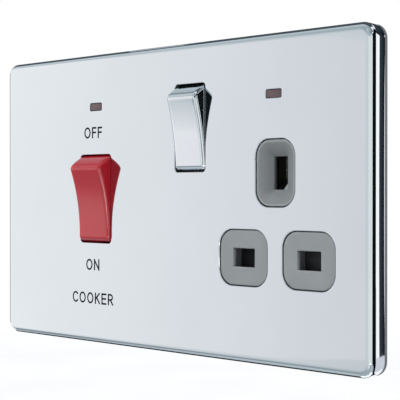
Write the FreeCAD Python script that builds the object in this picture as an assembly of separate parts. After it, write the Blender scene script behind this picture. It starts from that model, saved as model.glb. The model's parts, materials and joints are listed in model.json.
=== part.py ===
import FreeCAD, Part
import math
import os

os.makedirs("parts", exist_ok=True)

# Cooker control unit: a flush wall plate with a double-pole cooker switch and a switched three-pin socket.
# X to the right, Y into the wall, Z up. The origin is midway between the two fixing holes, on the wall.
# All sizes are in millimetres and all angles in degrees.

# Front plate, a pressed sheet with a folded rim
PLATE_W = 146.0
PLATE_H = 86.0
PLATE_CORNER_R = 4.0
PLATE_SHEET = 0.8
PLATE_BEND_R = 1.5
PLATE_PROJECTION = 6.0
PUNCH_EDGE = 0.2

# Mounting frame, the moulding that the plate clips over
FLANGE_THICK = 1.0
FLANGE_INSET = 0.15
FRAME_CLEARANCE = 0.3
FRAME_WALL = 1.6
FRAME_EDGE_R = 0.8
WEB_GAP = 0.2
WEB_THICK = 1.8
FRAME_RIB = 1.2
FRAME_RIB_PITCH = 20.0
FRAME_RIBS = 7
FRAME_RIB_SETBACK = 0.6
CLIP_LENGTH = 10.0
CLIP_HEIGHT = 1.2
CLIP_PROUD = 0.25
CLIP_X = 40.0
PRISE_SLOT_W = 8.0
PRISE_SLOT_H = 0.8

# Wall fixing
FIXING_INSET = 12.7
FIXING_HOLE_R = 2.0
FIXING_HEAD_R = 4.0
FIXING_BOSS_R = 5.2
FIXING_SEAT = 2.8
LUG_CLEARANCE = 1.1

# Three-pin socket
SOCKET_INSET = 31.1
PIN_LINE_Z = -15.3
PIN_PITCH = 22.2
EARTH_RISE = 22.2
LINE_PAD_W = 17.3
LINE_PAD_H = 15.0
EARTH_PAD_W = 13.6
EARTH_PAD_H = 17.7
PAD_CORNER_R = 4.6
PAD_GAP = 0.12
PAD_RECESS = 0.3
PAD_EDGE = 0.2
LINE_SLOT_W = 7.6
LINE_SLOT_H = 4.9
SLOT_CHAMFER = 0.3
EARTH_SLOT_W = 4.6
EARTH_SLOT_H = 8.6
EARTH_SLOT_R = 0.3
EARTH_DISH = 1.5
EARTH_RIM = 0.7
COVER_THICK = 2.0
COVER_LAP = 1.2
COVER_CLEARANCE = 0.3

# Shutter behind the pin slots
SHUTTER_THICK = 2.0
SHUTTER_CLEARANCE = 0.2
SHUTTER_LAP_X = 2.5
SHUTTER_LAP_Z = 0.85
SHUTTER_OPENING_SPARE = 0.25
SHUTTER_ARM_W = 5.2
SHUTTER_RAMP_THICK = 2.8
SHUTTER_RAMP_DROP = 0.1
RAIL_W = 1.8
RAIL_LIP = 1.3
RAIL_LIP_THICK = 1.2
SHUTTER_FOOT_W = 4.4
SHUTTER_FOOT_H = 2.0
SHUTTER_FOOT_DEPTH = 3.6
SHUTTER_PEG_R = 0.7
SHUTTER_PEG_LENGTH = 1.8
SHUTTER_SPRING_R = 1.35
SHUTTER_SPRING_WIRE = 0.4
SHUTTER_SPRING_LENGTH = 8.4
SHUTTER_SPRING_TURNS = 5
LEDGE_W = 6.0
LEDGE_H = 1.5
LEDGE_DEPTH = 4.2

# Wire springs, drawn as a bar along short straight stretches
SPRING_STEPS = 9
SPRING_SIDES = 4
SPRING_END = 0.75

# Pins and their spring contacts
LINE_PIN_H = 4.0
EARTH_PIN_W = 4.0
CONTACT_LEAF = 0.8
CONTACT_CLEARANCE = 0.1
CONTACT_FLARE = 0.9
CONTACT_FLARE_LENGTH = 2.0
LINE_CONTACT_W = 8.0
LINE_CONTACT_FRONT = 2.8
LINE_CONTACT_BACK = 15.5
EARTH_CONTACT_H = 8.4
EARTH_CONTACT_FRONT = 6.2

# Rockers, both on one pivot depth behind the plate's face
PIVOT_DEPTH = 5.0
ROCKER_TILT = 10.0
ROCKER_SIDE_GAP = 0.22
ROCKER_WALL = 1.6
ROCKER_TAIL = 1.0
ROCKER_EDGE_R = 1.0
TRUNNION_R = 1.2
TRUNNION_LENGTH = 2.6
BEARING_CLEARANCE = 0.06
WING_TOP = 0.4
WING_BOTTOM = 2.5
WING_HALF_H = 3.5
LEG_R = 2.6
LEG_BORE_R = 1.9
LEG_END = 8.0
LEG_BORE_TOP = 0.6
PLUNGER_R = 1.8
PLUNGER_NOSE = 1.6
PLUNGER_TIP_R = 0.8
PLUNGER_TOP = 4.6
PLUNGER_REACH = 11.0
PLUNGER_SPRING_R = 1.35
PLUNGER_SPRING_WIRE = 0.4
PLUNGER_SPRING_TURNS = 4
APERTURE_CORNER_R = 1.1

COOKER_INSET = 43.9
COOKER_Z = 0.0
COOKER_APERTURE_W = 13.9
COOKER_APERTURE_H = 26.3
COOKER_FACE_HALF = 10.8
COOKER_FACE_RISE = 8.1
COOKER_FACE_DISH = 1.1
COOKER_WING_HALF = 12.0
COOKER_POLE_OFFSET = 9.0

SOCKET_SWITCH_OFFSET = 31.0
SOCKET_SWITCH_Z = 19.6
SOCKET_APERTURE_W = 11.85
SOCKET_APERTURE_H = 24.3
SOCKET_FACE_HALF = 10.0
SOCKET_FACE_RISE = 7.25
SOCKET_FACE_DISH = 0.6

# Switch housings, dark mouldings that carry the rockers
HOUSING_FACE = 0.8
HOUSING_SIDE = 2.7
HOUSING_END = 1.2
HOUSING_BACK = 5.0
HOUSING_CLEARANCE = 0.3
COLLAR_WALL = 1.2
COLLAR_GAP_X = 0.25
COLLAR_GAP_Z = 0.2
COLLAR_CLEARANCE = 0.2

# Rocking contact bars
BAR_W = 5.0
BAR_HALF = 10.5
BAR_THICK = 1.6
BAR_GAP = 0.1
BAR_TILT = 8.0
BEAD_R = 0.9
BEAD_CLEARANCE = 0.1
BUTTON_R = 1.7
BUTTON_H = 0.8
BUTTON_Z = 8.4
BUTTON_GAP = 0.1
SADDLE_HALF = 2.6
SADDLE_GAP = 0.6
STRIP_THICK = 1.5
CONTACT_PAD_HALF = 2.4

# Cable terminals
TERMINAL_W = 9.0
TERMINAL_DEPTH = 11.0
TERMINAL_LENGTH = 11.0
TERMINAL_GAP = 1.0
TERMINAL_BORE_R = 3.0
TERMINAL_BORE_INSET = 5.0
TERMINAL_SCREW_R = 2.4
TERMINAL_SCREW_CLEARANCE = 0.1
TERMINAL_HEAD_R = 3.6
TERMINAL_HEAD_H = 2.2
SCREW_SLOT_W = 1.0
SCREW_SLOT_DEPTH = 1.1
SEAT_GAP = 0.05
EARTH_TERMINAL_PITCH = 14.1

# Strips from the terminals to the socket
LINK_THICK = 1.0
LINK_W = 2.5
LINK_GAP = 0.5
LIVE_LINK_SETBACK = 0.8
EARTH_STRAP_SETBACK = 0.6
EARTH_STRAP_W = 4.0
LIVE_STRIP_OFFSET = 4.5
LIVE_STRIP_W = 4.0
LIVE_STRIP_RUN_Z = 23.0
LIVE_STRIP_RUN_H = 3.5
LIVE_STRIP_SPARE = 1.1
PLATE_SPRING_W = 4.0
PLATE_SPRING_THICK = 0.5
PLATE_SPRING_Z = 26.0
PLATE_SPRING_FOOT = 4.0
PLATE_SPRING_CLEARANCE = 0.3

# Rear base: a box behind the socket with a sloped cheek, a deeper spine behind the cooker switch
BASE_REACH = 22.9
BASE_ROOM = 0.4
BASE_WALL = 1.8
SPINE_FLOOR = 3.0
BOX_FLOOR = 2.5
BOX_FLOOR_GAP = 0.6
CHEEK_FLOOR = 2.2
CHEEK_FLOOR_GAP = 0.8
CHEEK_SIDE = 12.7
CHEEK_RUN = 7.0
BASE_CORNER_R = 1.5
BASE_SPINE_HALF = 19.5
BASE_SHELF = 2.0
BAY_REACH = 6.0
BARRIER = 1.5
BARRIER_SETBACK = 1.0
BARRIER_FRONT = 8.0
BARRIER_GAP = 1.2
POST = 2.5
COOKER_POST_X = 14.0
COOKER_POST_Z = 11.2
SOCKET_POST_X = 6.0
SOCKET_POST_Z = 9.0
SLOT_CLEARANCE = 0.2

# Screws between the base and the frame
PILLAR_R = 2.3
PILOT_R = 1.15
PILOT_DEPTH = 9.0
BASE_SCREW_R = 1.1
BASE_SCREW_LENGTH = 8.0
BASE_HEAD_R = 2.5
BASE_HEAD_H = 1.5
BASE_SCREW_HOLE_R = 1.4
BASE_SLOT_W = 0.7
BASE_SLOT_DEPTH = 0.7
PILLAR_INSET = 4.4
BAY_PILLAR_OFFSET = 9.5
NEUTRAL_PILLAR_OFFSET = 6.8
LIVE_PILLAR_OFFSET = 4.0

# Neon indicators
NEON_W = 5.3
NEON_H = 2.25
NEON_CORNER_R = 0.4
NEON_GAP = 0.1
NEON_RECESS = 0.2
NEON_FLANGE_LAP = 1.2
NEON_FLANGE_THICK = 1.0
COOKER_NEON_OFFSET = 0.15
COOKER_NEON_Z = 27.35
SOCKET_NEON_OFFSET = 0.45
SOCKET_NEON_Z = 27.3
LAMP_R = 2.0
LAMP_HALF = 5.5
LAMP_END = 1.0
LAMP_Y = 0.5
LAMP_CLEARANCE = 0.05
CRADLE_X = 4.6
CRADLE_THICK = 1.2
CRADLE_HALF_H = 2.9
LEAD_R = 0.35
LEAD_HOLE_R = 0.6
RESISTOR_R = 1.1
RESISTOR_FRONT = 4.0
RESISTOR_LENGTH = 6.0
LEAD_SIDES = 6
SOCKET_LEAD_OFFSET = 3.2
SOCKET_LEAD_Y = 8.0

# Reach of a cut past the face it opens, and the distance at which two places count as one
OVERCUT = 1.0
MATCH = 1e-6

# Places worked out from the sizes above
FRONT_Y = -PLATE_PROJECTION
PLATE_BACK_Y = FRONT_Y + PLATE_SHEET
RIM_Y = -FLANGE_THICK
WEB_FRONT_Y = PLATE_BACK_Y + WEB_GAP
WEB_BACK_Y = WEB_FRONT_Y + WEB_THICK
FIXING_X = PLATE_W / 2 - FIXING_INSET
FRAME_W = PLATE_W - 2 * (PLATE_SHEET + FRAME_CLEARANCE)
FRAME_H = PLATE_H - 2 * (PLATE_SHEET + FRAME_CLEARANCE)
FRAME_CORNER_R = PLATE_CORNER_R - PLATE_SHEET - FRAME_CLEARANCE

SOCKET_X = PLATE_W / 2 - SOCKET_INSET
LIVE_X = SOCKET_X + PIN_PITCH / 2
NEUTRAL_X = SOCKET_X - PIN_PITCH / 2
EARTH_Z = PIN_LINE_Z + EARTH_RISE
PAD_FRONT_Y = FRONT_Y + PAD_RECESS
COVER_BACK_Y = WEB_BACK_Y + COVER_THICK

SHUTTER_FRONT_Y = COVER_BACK_Y + SHUTTER_CLEARANCE
SHUTTER_BACK_Y = SHUTTER_FRONT_Y + SHUTTER_THICK
SHUTTER_HALF = PIN_PITCH / 2 + LINE_SLOT_W / 2 + SHUTTER_LAP_X
SHUTTER_TOP_Z = PIN_LINE_Z + LINE_SLOT_H / 2 + SHUTTER_LAP_Z
SHUTTER_BOTTOM_Z = PIN_LINE_Z - LINE_SLOT_H / 2 - SHUTTER_LAP_Z
SHUTTER_TRAVEL = LINE_SLOT_H + SHUTTER_LAP_Z + SHUTTER_OPENING_SPARE
SHUTTER_SPRING_Y = SHUTTER_FRONT_Y + SHUTTER_FOOT_DEPTH / 2
LEDGE_Z = SHUTTER_BOTTOM_Z - SHUTTER_SPRING_LENGTH

COOKER_X = COOKER_INSET - PLATE_W / 2
SOCKET_SWITCH_X = SOCKET_X - SOCKET_SWITCH_OFFSET
PIVOT_Y = FRONT_Y + PIVOT_DEPTH
BAR_PIVOT_Y = PIVOT_Y + PLUNGER_REACH + BAR_GAP + BAR_THICK
BAR_SIN = math.sin(math.radians(BAR_TILT))
BAR_COS = math.cos(math.radians(BAR_TILT))
BUTTON_REACH = BUTTON_H * BAR_COS + (BUTTON_Z + BUTTON_R) * BAR_SIN
STRIP_Y = BAR_PIVOT_Y + BUTTON_REACH + BUTTON_GAP
SADDLE_Y = BAR_PIVOT_Y + SADDLE_GAP
COOKER_LIVE_X = COOKER_X - COOKER_POLE_OFFSET
COOKER_NEUTRAL_X = COOKER_X + COOKER_POLE_OFFSET
COOKER_NEON_X = COOKER_X + COOKER_NEON_OFFSET
SOCKET_NEON_X = SOCKET_X - SOCKET_NEON_OFFSET
SOCKET_LEAD_X = NEUTRAL_X + SOCKET_LEAD_OFFSET

EARTH_TERMINAL_X = COOKER_NEUTRAL_X + EARTH_TERMINAL_PITCH
TERMINAL_INNER_Z = BASE_SPINE_HALF + TERMINAL_GAP
TERMINAL_BACK_Y = STRIP_Y + TERMINAL_DEPTH
TERMINAL_BORE_Y = STRIP_Y + TERMINAL_BORE_INSET
TERMINAL_OUTER_Z = TERMINAL_INNER_Z + TERMINAL_LENGTH
TERMINAL_MID_Z = TERMINAL_INNER_Z + TERMINAL_LENGTH / 2
SPINE_FLOOR_Y = TERMINAL_BACK_Y
SPINE_BACK_Y = SPINE_FLOOR_Y + SPINE_FLOOR
SHELF_Y = STRIP_Y - BASE_SHELF
LINK_Z = BASE_WALL + LINK_GAP - BASE_SPINE_HALF
LIVE_STRIP_X = LIVE_X - LIVE_STRIP_OFFSET
LIVE_STRIP_TOP_Z = SOCKET_NEON_Z + LIVE_STRIP_SPARE
NEUTRAL_LINK_Y = LINE_CONTACT_BACK
LIVE_LINK_Y = NEUTRAL_LINK_Y + LINK_THICK + LIVE_LINK_SETBACK
EARTH_STRAP_Y = LIVE_LINK_Y + LINK_THICK + EARTH_STRAP_SETBACK
BOX_FLOOR_Y = EARTH_STRAP_Y + LINK_THICK + BOX_FLOOR_GAP
BOX_BACK_Y = BOX_FLOOR_Y + BOX_FLOOR
CHEEK_FLOOR_Y = LINE_CONTACT_BACK + CHEEK_FLOOR_GAP
CHEEK_BACK_Y = CHEEK_FLOOR_Y + CHEEK_FLOOR
CHEEK_SLOPE_Y = WEB_BACK_Y + CHEEK_SIDE

RAIL_BOTTOM_Z = SHUTTER_BOTTOM_Z - SHUTTER_TRAVEL
COVER_X0 = NEUTRAL_X - LINE_PAD_W / 2 - COVER_LAP
COVER_X1 = LIVE_X + LINE_PAD_W / 2 + COVER_LAP
COVER_Z0 = RAIL_BOTTOM_Z - COVER_LAP
COVER_Z1 = EARTH_Z + EARTH_PAD_H / 2 + COVER_LAP
BASE_LEFT = COOKER_X - BASE_REACH
BASE_RIGHT = COVER_X1 + COVER_CLEARANCE + BASE_WALL
SOCKET_HOUSING_HALF = math.hypot(SOCKET_FACE_HALF, SOCKET_FACE_RISE) + HOUSING_CLEARANCE + HOUSING_END
BASE_HALF_H = SOCKET_SWITCH_Z + SOCKET_HOUSING_HALF + BASE_ROOM + BASE_WALL
BAY_RIGHT = EARTH_TERMINAL_X + BAY_REACH
BARRIER_LOW_Z = LINK_Z + LINK_W + BARRIER_GAP
BASE_STEP_X = FIXING_X - FIXING_BOSS_R - LUG_CLEARANCE
BASE_STEP_Z = -FIXING_BOSS_R - LUG_CLEARANCE
COVER_STEP_X = BASE_STEP_X - BASE_WALL - COVER_CLEARANCE
COVER_STEP_Z = BASE_STEP_Z - BASE_WALL - COVER_CLEARANCE
PILLAR_Z = BASE_HALF_H - PILLAR_INSET
BAY_PILLAR_X = COOKER_LIVE_X - BAY_PILLAR_OFFSET
NEUTRAL_PILLAR_X = NEUTRAL_X - NEUTRAL_PILLAR_OFFSET
LIVE_PILLAR_X = LIVE_X - LIVE_PILLAR_OFFSET
BAY_PILLARS = [(BAY_PILLAR_X, PILLAR_Z), (BAY_PILLAR_X, -PILLAR_Z)]
BOX_PILLARS = [(LIVE_PILLAR_X, PILLAR_Z), (NEUTRAL_PILLAR_X, -PILLAR_Z), (LIVE_PILLAR_X, -PILLAR_Z)]


def vec(x, y, z):
    return FreeCAD.Vector(x, y, z)


def box(x0, x1, y0, y1, z0, z1):
    return Part.makeBox(x1 - x0, y1 - y0, z1 - z0, vec(x0, y0, z0))


def block(x, z, w, h, y0, y1):
    """A box centred on x and z."""
    return box(x - w / 2, x + w / 2, y0, y1, z - h / 2, z + h / 2)


def outline(x, z, w, h, r, y):
    """A rectangle with rounded corners, in the plane at y."""
    edges = []
    corners = [(1, 1), (-1, 1), (-1, -1), (1, -1)]
    diagonal = r * (1 - math.sqrt(0.5))
    arcs = []
    for sx, sz in corners:
        cx = x + sx * w / 2
        cz = z + sz * h / 2
        on_side = vec(cx, y, cz - sz * r)
        on_end = vec(cx - sx * r, y, cz)
        middle = vec(cx - sx * diagonal, y, cz - sz * diagonal)
        arcs.append((on_side, middle, on_end) if sx == sz else (on_end, middle, on_side))
    for number, (start, middle, end) in enumerate(arcs):
        edges.append(Part.Arc(start, middle, end).toShape())
        edges.append(Part.makeLine(end, arcs[(number + 1) % len(arcs)][0]))
    return Part.Wire(edges)


def slab(x, z, w, h, r, y0, y1):
    """A rounded rectangle extruded along Y."""
    return Part.Face(outline(x, z, w, h, r, y0)).extrude(vec(0, y1 - y0, 0))


def rod_x(x0, x1, y, z, r):
    return Part.makeCylinder(r, x1 - x0, vec(x0, y, z), vec(1, 0, 0))


def rod_y(x, z, r, y0, y1):
    return Part.makeCylinder(r, y1 - y0, vec(x, y0, z), vec(0, 1, 0))


def rod_z(x, y, r, z0, z1):
    return Part.makeCylinder(r, z1 - z0, vec(x, y, z0), vec(0, 0, 1))


def prism_x(points, x0, x1):
    """A polygon of (y, z) points extruded along X."""
    corners = [vec(x0, y, z) for y, z in points]
    return Part.Face(Part.makePolygon(corners + corners[:1])).extrude(vec(x1 - x0, 0, 0))


def prism_y(points, y0, y1):
    """A polygon of (x, z) points extruded along Y."""
    corners = [vec(x, y0, z) for x, z in points]
    return Part.Face(Part.makePolygon(corners + corners[:1])).extrude(vec(0, y1 - y0, 0))


def prism_z(points, z0, z1):
    """A polygon of (x, y) points extruded along Z."""
    corners = [vec(x, y, z0) for x, y in points]
    return Part.Face(Part.makePolygon(corners + corners[:1])).extrude(vec(0, 0, z1 - z0))


def joined(*solids):
    return solids[0].fuse(list(solids[1:])).removeSplitter().Solids[0]


def without(solid, *tools):
    return solid.cut(list(tools)).Solids[0]


def swept(points, r, sides):
    """A bar of regular cross-section along straight stretches with mitred corners."""
    along = (points[1] - points[0]).normalize()
    across = along.cross(vec(0, 0, 1))
    if across.Length < MATCH:
        across = vec(1, 0, 0)
    across.normalize()
    up = along.cross(across)
    turn = 2 * math.pi / sides
    ring = []
    for number in range(sides):
        angle = (number + 0.5) * turn
        ring.append(points[0] + across * r * math.cos(angle) + up * r * math.sin(angle))
    profile = Part.makePolygon(ring + ring[:1])
    return Part.makePolygon(points).makePipeShell([profile], True, False, 1)


def coil(r, wire, length, turns):
    """A compression spring along Z from the origin, with square wire and its ends inside the length."""
    inset = SPRING_END * wire
    points = []
    for number in range(turns * SPRING_STEPS + 1):
        angle = 2 * math.pi * number / SPRING_STEPS
        height = inset + (length - 2 * inset) * number / (turns * SPRING_STEPS)
        points.append(vec(r * math.cos(angle), r * math.sin(angle), height))
    return swept(points, wire / math.sqrt(2), SPRING_SIDES)


def edges_where(solid, test):
    return [edge for edge in solid.Edges if all(test(vertex.Point) for vertex in edge.Vertexes)]


def export(name, *solids):
    shape = solids[0] if len(solids) == 1 else Part.makeCompound(list(solids))
    shape.exportStep("parts/" + name + ".step")


def switch_sizes(x, z, aperture_w, half, rise, dish, wing_half, legs):
    """The values that one rocker, its housing and its plungers share."""
    side = aperture_w / 2 - ROCKER_SIDE_GAP
    return {
        "x": x,
        "z": z,
        "side": side,
        "half": half,
        "rise": rise,
        "dish": dish,
        "wing_half": max(wing_half, side),
        "legs": legs,
        "sweep_r": math.hypot(half, rise),
    }


COOKER = switch_sizes(
    COOKER_X, COOKER_Z, COOKER_APERTURE_W, COOKER_FACE_HALF, COOKER_FACE_RISE,
    COOKER_FACE_DISH, COOKER_WING_HALF, [-COOKER_POLE_OFFSET, COOKER_POLE_OFFSET],
)
SOCKET = switch_sizes(
    SOCKET_SWITCH_X, SOCKET_SWITCH_Z, SOCKET_APERTURE_W, SOCKET_FACE_HALF, SOCKET_FACE_RISE,
    SOCKET_FACE_DISH, 0.0, [0.0],
)


def at_rest(solid, switch):
    """Turn a piece of a rocker to its ON position, lower end in, and set it on its pivot."""
    turned = solid.rotated(vec(0, 0, 0), vec(1, 0, 0), ROCKER_TILT)
    return turned.translated(vec(switch["x"], PIVOT_Y, switch["z"]))


def rocker_form(half, rise, dish, tail, side):
    """A dished face between two ends that are round about the pivot."""
    r = math.hypot(half, rise)
    foot = math.sqrt(r * r - tail * tail)
    top = vec(-side, -rise, half)
    bottom = vec(-side, -rise, -half)
    low_foot = vec(-side, tail, -foot)
    high_foot = vec(-side, tail, foot)
    face = Part.Arc(top, vec(-side, dish - rise, 0), bottom).toShape()
    low_end = Part.Arc(bottom, vec(-side, 0, -r), low_foot).toShape()
    high_end = Part.Arc(high_foot, vec(-side, 0, r), top).toShape()
    wire = Part.Wire([face, low_end, Part.makeLine(low_foot, high_foot), high_end])
    return Part.Face(wire).extrude(vec(2 * side, 0, 0))


def rocker(switch):
    """A hollow rocker with trunnions at its sides and legs for the plungers."""
    half = switch["half"]
    rise = switch["rise"]
    side = switch["side"]
    form = rocker_form(half, rise, switch["dish"], ROCKER_TAIL, side)
    near_tail = ROCKER_TAIL - ROCKER_EDGE_R
    seen = [edge for edge in form.Edges if min(v.Point.y for v in edge.Vertexes) < near_tail]
    form = form.makeFillet(ROCKER_EDGE_R, seen)
    hollow = rocker_form(
        half - ROCKER_WALL, rise - ROCKER_WALL, switch["dish"], ROCKER_TAIL + OVERCUT, side - ROCKER_WALL
    )
    shell = without(form, hollow)
    reach = switch["wing_half"]
    added = []
    bores = []
    for sign in (-1, 1):
        ends = sorted([sign * (side - ROCKER_WALL), sign * reach])
        pivot_ends = sorted([sign * (side - ROCKER_WALL), sign * (reach + TRUNNION_LENGTH)])
        if reach > side:
            added.append(box(ends[0], ends[1], -WING_TOP, WING_BOTTOM, -WING_HALF_H, WING_HALF_H))
        added.append(rod_x(pivot_ends[0], pivot_ends[1], 0, 0, TRUNNION_R))
    for leg in switch["legs"]:
        top = -WING_TOP if reach > side else switch["dish"] + ROCKER_WALL / 2 - rise
        added.append(rod_y(leg, 0, LEG_R, top, LEG_END))
        bores.append(rod_y(leg, 0, LEG_BORE_R, LEG_BORE_TOP, LEG_END + OVERCUT))
    return at_rest(without(joined(shell, *added), *bores), switch)


def plunger(switch, leg):
    """A pin with a tapered nose that slides in a leg and presses on a contact bar."""
    nose = PLUNGER_REACH - PLUNGER_NOSE
    pin = rod_y(leg, 0, PLUNGER_R, PLUNGER_TOP, nose)
    tip = Part.makeCone(PLUNGER_R, PLUNGER_TIP_R, PLUNGER_NOSE, vec(leg, nose, 0), vec(0, 1, 0))
    return at_rest(joined(pin, tip), switch)


def plunger_spring(switch, leg):
    spring = coil(PLUNGER_SPRING_R, PLUNGER_SPRING_WIRE, PLUNGER_TOP - LEG_BORE_TOP, PLUNGER_SPRING_TURNS)
    lying = spring.rotated(vec(0, 0, 0), vec(1, 0, 0), -90)
    return at_rest(lying.translated(vec(leg, LEG_BORE_TOP, 0)), switch)


def collar_size(switch):
    """Half width and half height of the opening that a rocker works in."""
    return switch["side"] + COLLAR_GAP_X, switch["sweep_r"] + COLLAR_GAP_Z


def switch_housing(switch):
    """A dark moulding with a collar round the rocker and bearings for its trunnions."""
    x = switch["x"]
    z = switch["z"]
    open_x, open_z = collar_size(switch)
    room_x = switch["wing_half"] + HOUSING_CLEARANCE
    room_z = switch["sweep_r"] + HOUSING_CLEARANCE
    outer_w = 2 * (room_x + HOUSING_SIDE)
    outer_h = 2 * (room_z + HOUSING_END)
    body = block(x, z, outer_w, outer_h, WEB_BACK_Y, HOUSING_BACK)
    collar = block(x, z, 2 * (open_x + COLLAR_WALL), 2 * (open_z + COLLAR_WALL), WEB_FRONT_Y, WEB_BACK_Y)
    room = block(x, z, 2 * room_x, 2 * room_z, WEB_BACK_Y + HOUSING_FACE, HOUSING_BACK)
    opening = block(x, z, 2 * open_x, 2 * open_z, WEB_FRONT_Y, HOUSING_BACK)
    bearing = rod_x(x - outer_w, x + outer_w, PIVOT_Y, z, TRUNNION_R + BEARING_CLEARANCE)
    return without(joined(body, collar), room, opening, bearing)


def contact_bar(x, z):
    """A bar that rocks on a bead and closes its button on the strip behind it."""
    bar = box(-BAR_W / 2, BAR_W / 2, -BAR_THICK, 0, -BAR_HALF, BAR_HALF)
    bead = rod_x(-BAR_W / 2, BAR_W / 2, 0, 0, BEAD_R)
    button = rod_y(0, BUTTON_Z, BUTTON_R, -BAR_THICK / 2, BUTTON_H)
    turned = joined(bar, bead, button).rotated(vec(0, 0, 0), vec(1, 0, 0), -BAR_TILT)
    return turned.translated(vec(x, BAR_PIVOT_Y, z))


def saddle(x, z, back):
    """A post with a groove for the bead of a contact bar."""
    post = block(x, z, BAR_W, 2 * SADDLE_HALF, SADDLE_Y, back)
    groove = rod_x(x - BAR_W, x + BAR_W, BAR_PIVOT_Y, z, BEAD_R + BEAD_CLEARANCE)
    return without(post, groove)


def terminal_block(x, sign):
    """A brass block with a cable bore along Z and a tapped hole from the back."""
    z0, z1 = sorted([sign * TERMINAL_INNER_Z, sign * TERMINAL_OUTER_Z])
    body = box(x - TERMINAL_W / 2, x + TERMINAL_W / 2, STRIP_Y, TERMINAL_BACK_Y, z0, z1)
    bore = rod_z(x, TERMINAL_BORE_Y, TERMINAL_BORE_R, z0, z1)
    tapped_r = TERMINAL_SCREW_R + TERMINAL_SCREW_CLEARANCE
    tapped = rod_y(x, sign * TERMINAL_MID_Z, tapped_r, TERMINAL_BORE_Y, TERMINAL_BACK_Y)
    return without(body, bore, tapped)


def supply_terminal(x):
    """A lower terminal with a strip up to the saddle of its contact bar."""
    x0 = x - BAR_W / 2
    x1 = x + BAR_W / 2
    lowest = -TERMINAL_INNER_Z - BAR_W / 2
    strip = box(x0, x1, STRIP_Y, STRIP_Y + STRIP_THICK, -TERMINAL_INNER_Z, SADDLE_HALF)
    root = box(x0, x1, STRIP_Y, STRIP_Y + STRIP_THICK / 2, lowest, -TERMINAL_INNER_Z)
    return joined(terminal_block(x, -1), strip, root, saddle(x, COOKER_Z, STRIP_Y + STRIP_THICK))


def load_terminal(x):
    """An upper terminal with a strip down to the fixed contact."""
    x0 = x - BAR_W / 2
    x1 = x + BAR_W / 2
    contact_z = COOKER_Z + BUTTON_Z - CONTACT_PAD_HALF
    highest = TERMINAL_INNER_Z + BAR_W / 2
    strip = box(x0, x1, STRIP_Y, STRIP_Y + STRIP_THICK, contact_z, TERMINAL_INNER_Z)
    root = box(x0, x1, STRIP_Y, STRIP_Y + STRIP_THICK / 2, TERMINAL_INNER_Z, highest)
    return joined(terminal_block(x, 1), strip, root)


def slotted_screw(x, z, seat, tip, shank_r, head_r, head_h, slot_w, slot_depth):
    """A round-headed screw along Y, its head behind the seat and its tip in front."""
    shank = rod_y(x, z, shank_r, tip, seat)
    head = rod_y(x, z, head_r, seat, seat + head_h)
    end = seat + head_h
    slot = block(x, z, 2 * head_r + OVERCUT, slot_w, end - slot_depth, end + OVERCUT)
    return without(joined(shank, head), slot)


TERMINALS = [
    (COOKER_LIVE_X, -1), (COOKER_NEUTRAL_X, -1), (EARTH_TERMINAL_X, -1),
    (COOKER_LIVE_X, 1), (COOKER_NEUTRAL_X, 1), (EARTH_TERMINAL_X, 1),
]


# Each pillar with the inner face that it ends on and the outer face that its screw seats on
PILLARS = [(x, z, SHELF_Y, STRIP_Y) for x, z in BAY_PILLARS]
PILLARS += [(x, z, BOX_FLOOR_Y, BOX_BACK_Y) for x, z in BOX_PILLARS]


def terminal_screws():
    tip = TERMINAL_BORE_Y + TERMINAL_BORE_R + SEAT_GAP
    seat = TERMINAL_BACK_Y + SEAT_GAP
    return [
        slotted_screw(x, sign * TERMINAL_MID_Z, seat, tip, TERMINAL_SCREW_R, TERMINAL_HEAD_R,
                      TERMINAL_HEAD_H, SCREW_SLOT_W, SCREW_SLOT_DEPTH)
        for x, sign in TERMINALS
    ]


def base_screws():
    return [
        slotted_screw(x, z, seat + SEAT_GAP, seat - BASE_SCREW_LENGTH, BASE_SCREW_R, BASE_HEAD_R,
                      BASE_HEAD_H, BASE_SLOT_W, BASE_SLOT_DEPTH)
        for x, z, inner, seat in PILLARS
    ]


def leaf_pair(half_gap, front, back):
    """Two flared spring leaves and the web behind them, as (across, y) outlines about zero."""
    tight = half_gap + CONTACT_CLEARANCE
    wide = tight + CONTACT_FLARE
    waist = front + CONTACT_FLARE_LENGTH
    leaf = [
        (wide, front), (tight, waist), (tight, back),
        (tight + CONTACT_LEAF, back), (tight + CONTACT_LEAF, waist), (wide + CONTACT_LEAF, front),
    ]
    other = [(-across, y) for across, y in leaf]
    return leaf, other, tight + CONTACT_LEAF


def line_clip(x):
    """A clip that grips a pin above and below."""
    x0 = x - LINE_CONTACT_W / 2
    x1 = x + LINE_CONTACT_W / 2
    upper, lower, reach = leaf_pair(LINE_PIN_H / 2, LINE_CONTACT_FRONT, LINE_CONTACT_BACK)
    leaves = [prism_x([(y, PIN_LINE_Z + z) for z, y in leaf], x0, x1) for leaf in (upper, lower)]
    web_y = LINE_CONTACT_BACK - CONTACT_LEAF
    web = box(x0, x1, web_y, LINE_CONTACT_BACK, PIN_LINE_Z - reach, PIN_LINE_Z + reach)
    return joined(web, *leaves)


def earth_contact():
    """A clip that grips the earth pin at its sides, with a tail down to the earth strap."""
    z0 = EARTH_Z - EARTH_CONTACT_H / 2
    z1 = EARTH_Z + EARTH_CONTACT_H / 2
    right, left, reach = leaf_pair(EARTH_PIN_W / 2, EARTH_CONTACT_FRONT, EARTH_STRAP_Y)
    leaves = [prism_z([(SOCKET_X + x, y) for x, y in leaf], z0, z1) for leaf in (right, left)]
    web_y = EARTH_STRAP_Y - CONTACT_LEAF
    web = box(SOCKET_X - reach, SOCKET_X + reach, web_y, EARTH_STRAP_Y, -EARTH_STRAP_W / 2, z1)
    return joined(web, *leaves)


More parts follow.
